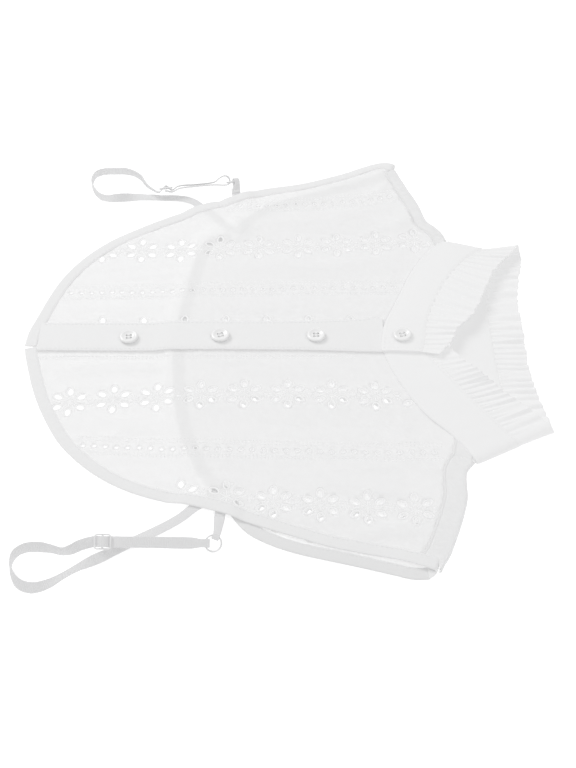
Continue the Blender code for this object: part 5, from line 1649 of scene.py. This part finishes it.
def weave_bump(tree, shader, pitch, turn, depth, cloudy):
    """Threads crossing at a pitch in millimetres, with a soft unevenness, as relief of a shader."""
    coords = tree.nodes.new("ShaderNodeTexCoord")
    mapping = tree.nodes.new("ShaderNodeMapping")
    mapping.inputs["Rotation"].default_value = (0, 0, math.radians(turn))
    tree.links.new(coords.outputs["Object"], mapping.inputs["Vector"])
    waves = []
    for direction in ("X", "Y"):
        wave = tree.nodes.new("ShaderNodeTexWave")
        wave.bands_direction = direction
        wave.inputs["Scale"].default_value = 0.314 / (pitch * MM)
        wave.inputs["Distortion"].default_value = 1.2
        wave.inputs["Detail"].default_value = 1.0
        tree.links.new(mapping.outputs["Vector"], wave.inputs["Vector"])
        waves.append(wave)
    cross = tree.nodes.new("ShaderNodeMath")
    cross.operation = "MAXIMUM"
    tree.links.new(waves[0].outputs["Fac"], cross.inputs[0])
    tree.links.new(waves[1].outputs["Fac"], cross.inputs[1])
    noise = tree.nodes.new("ShaderNodeTexNoise")
    noise.inputs["Scale"].default_value = 260.0
    noise.inputs["Detail"].default_value = 3.0
    tree.links.new(coords.outputs["Object"], noise.inputs["Vector"])
    both = tree.nodes.new("ShaderNodeMath")
    both.operation = "MULTIPLY_ADD"
    both.inputs[1].default_value = cloudy
    tree.links.new(noise.outputs["Fac"], both.inputs[0])
    tree.links.new(cross.outputs["Value"], both.inputs[2])
    bump = tree.nodes.new("ShaderNodeBump")
    bump.inputs["Strength"].default_value = 0.5
    bump.inputs["Distance"].default_value = depth * MM
    tree.links.new(both.outputs["Value"], bump.inputs["Height"])
    tree.links.new(bump.outputs["Normal"], shader.inputs["Normal"])
    return both.outputs["Value"]


def set_glow(shader, strength):
    """A white glow of a shader."""
    shader.inputs["Emission Color"].default_value = (1, 1, 1, 1)
    shader.inputs["Emission Strength"].default_value = strength


def colour_ramp(tree, shader, value, dark, light, low, high):
    """Shade a shader's colour between two greys by a value."""
    ramp = tree.nodes.new("ShaderNodeValToRGB")
    ramp.color_ramp.elements[0].position = low
    ramp.color_ramp.elements[0].color = (*dark, 1)
    ramp.color_ramp.elements[1].position = high
    ramp.color_ramp.elements[1].color = (*light, 1)
    tree.links.new(value, ramp.inputs["Fac"])
    tree.links.new(ramp.outputs["Color"], shader.inputs["Base Color"])


def shaded(name, roughness, alpha=1.0, sheen=0.0, specular=0.3):
    """A material and its shader with the values that are the same all over."""
    material = bpy.data.materials.new(name)
    material.use_nodes = True
    shader = material.node_tree.nodes["Principled BSDF"]
    shader.inputs["Roughness"].default_value = roughness
    shader.inputs["Alpha"].default_value = alpha
    shader.inputs["Sheen Weight"].default_value = sheen
    shader.inputs["Specular IOR Level"].default_value = specular
    return material, material.node_tree, shader


def cloth_material(name, grey, pitch, turn, depth, alpha=1.0, glow=CLOTH_PAINTED_LIGHT):
    """Woven white cotton. A little glow stands in for the light that scatters inside it."""
    material, tree, shader = shaded(name, 0.85, alpha, 0.15, 0.2)
    set_glow(shader, glow)
    value = weave_bump(tree, shader, pitch, turn, depth, 0.8)
    dark = tuple(g * 0.95 for g in grey)
    colour_ramp(tree, shader, value, dark, grey, 0.35, 1.2)
    return material


def thread_material(name, grey):
    """Satin embroidery and sewing thread, with fine twisted strands."""
    material, tree, shader = shaded(name, 0.55, 1.0, 0.1, 0.35)
    # Painted light: the thread glows a little, which lifts its shade
    set_glow(shader, CLOTH_PAINTED_LIGHT)
    value = weave_bump(tree, shader, 0.28, 38, 0.05, 0.5)
    colour_ramp(tree, shader, value, tuple(g * 0.94 for g in grey), grey, 0.3, 1.1)
    return material


def plastic_material(name, grey, roughness, scale, depth):
    """Moulded or enamelled white with a faint unevenness."""
    material, tree, shader = shaded(name, roughness, 1.0, 0.0, 0.5)
    coords = tree.nodes.new("ShaderNodeTexCoord")
    noise = tree.nodes.new("ShaderNodeTexNoise")
    noise.inputs["Scale"].default_value = scale
    noise.inputs["Detail"].default_value = 4.0
    tree.links.new(coords.outputs["Object"], noise.inputs["Vector"])
    bump = tree.nodes.new("ShaderNodeBump")
    bump.inputs["Strength"].default_value = 0.3
    bump.inputs["Distance"].default_value = depth * MM
    tree.links.new(noise.outputs["Fac"], bump.inputs["Height"])
    tree.links.new(bump.outputs["Normal"], shader.inputs["Normal"])
    colour_ramp(tree, shader, noise.outputs["Fac"], tuple(g * 0.96 for g in grey), grey, 0.35, 0.65)
    return material


def make_stage():
    """White surface, soft light and the camera at the photograph's place."""
    bpy.ops.mesh.primitive_plane_add(size=FLOOR_SIZE, location=(0, 0, cad_bounds[0].z - FLOOR_DROP))
    floor = bpy.context.object
    floor.name = "floor"
    material, _, shader = shaded("studio_white", 0.9, 1.0, 0.0, 0.0)
    shader.inputs["Base Color"].default_value = (0.9, 0.9, 0.9, 1)
    set_glow(shader, FLOOR_GLOW)
    floor.data.materials.append(material)
    world = bpy.data.worlds.new("studio")
    world.use_nodes = True
    world.node_tree.nodes["Background"].inputs["Color"].default_value = (1, 1, 1, 1)
    world.node_tree.nodes["Background"].inputs["Strength"].default_value = WORLD_LIGHT
    bpy.context.scene.world = world
    for name, place, size, power in LIGHTS:
        light = bpy.data.lights.new(name, "AREA")
        light.shape = "DISK"
        light.size = size
        light.energy = power
        lamp = bpy.data.objects.new(name, light)
        lamp.location = place
        lamp.rotation_euler = Vector(place).to_track_quat("Z", "Y").to_euler()
        bpy.context.collection.objects.link(lamp)
    camera = bpy.data.cameras.new("camera")
    camera.lens = CAMERA_LENS
    camera.sensor_width = CAMERA_SENSOR
    eye = bpy.data.objects.new("camera", camera)
    eye.location = Vector(CAMERA_PLACE) + Vector(shift.tolist()) * MM
    eye.rotation_euler = (math.radians(CAMERA_TILT), 0, 0)
    bpy.context.collection.objects.link(eye)
    bpy.context.scene.camera = eye
    bpy.context.scene.view_settings.view_transform = "Standard"
    bpy.context.scene.view_settings.look = "None"


def main():
    """Dress the frame."""
    make_stage()
    voile = cloth_material("voile", VOILE_GREY, 0.5, 0, 0.10, VOILE_ALPHA)
    # The back's copy of the voile, brightened with painted light where the fronts shade it
    under = cloth_material("voile_back_painted_light", BACK_GREY, 0.5, 0, 0.10, VOILE_ALPHA, BACK_PAINTED_LIGHT)
    dense = cloth_material("voile_seam", SEAM_GREY, 0.5, 0, 0.10, SEAM_ALPHA)
    # The ruffle's voile, brightened with painted light
    frill = cloth_material("voile_frill_painted_light", FRILL_GREY, 0.5, 12, 0.10, FRILL_ALPHA, COLLAR_PAINTED_LIGHT)
    satin = thread_material("satin_thread", SATIN_GREY)
    cotton = cloth_material("cotton", COTTON_GREY, 0.42, 0, 0.12)
    # The band's cotton, brightened with painted light inside the collar
    stand = cloth_material("stand_cotton_painted_light", STAND_GREY, 0.42, 8, 0.12, 1.0, COLLAR_PAINTED_LIGHT)
    bias = cloth_material("bias_cotton", BIAS_GREY, 0.42, 45, 0.12)
    # Darker copy of the bias cotton for the back's bindings: painted shade
    bias_back_painted_shade = cloth_material("bias_back_painted_shade", BIAS_BACK_PAINTED_SHADE_GREY, 0.42, 45, 0.12, 1.0, BIAS_BACK_PAINTED_LIGHT)
    thread = thread_material("sewing_thread", THREAD_GREY)
    elastic = cloth_material("elastic", ELASTIC_GREY, 0.6, 30, 0.15)
    gloss = plastic_material("button_gloss", BUTTON_GREY, 0.22, 90.0, 0.05)
    moulded = plastic_material("moulded_white", SLIDER_GREY, 0.35, 200.0, 0.05)
    enamel = plastic_material("enamel_white", RING_GREY, 0.25, 300.0, 0.03)

    back, back_threads, seams = back_panel(under, dense, satin)
    right, right_threads = front_panel(1, RIGHT_FLOWERS, RIGHT_NARROW, voile, satin)
    left, left_threads = front_panel(-1, LEFT_FLOWERS, LEFT_NARROW, voile, satin)
    bound = make_bindings(bias, bias_back_painted_shade, thread)
    placket, placket_threads = make_placket(cotton, thread)
    band, band_threads = make_band(stand, thread)
    ruffle = make_ruffle(frill)
    buttons = make_buttons(gloss, thread)
    make_straps(elastic, thread, moulded, enamel)


main()
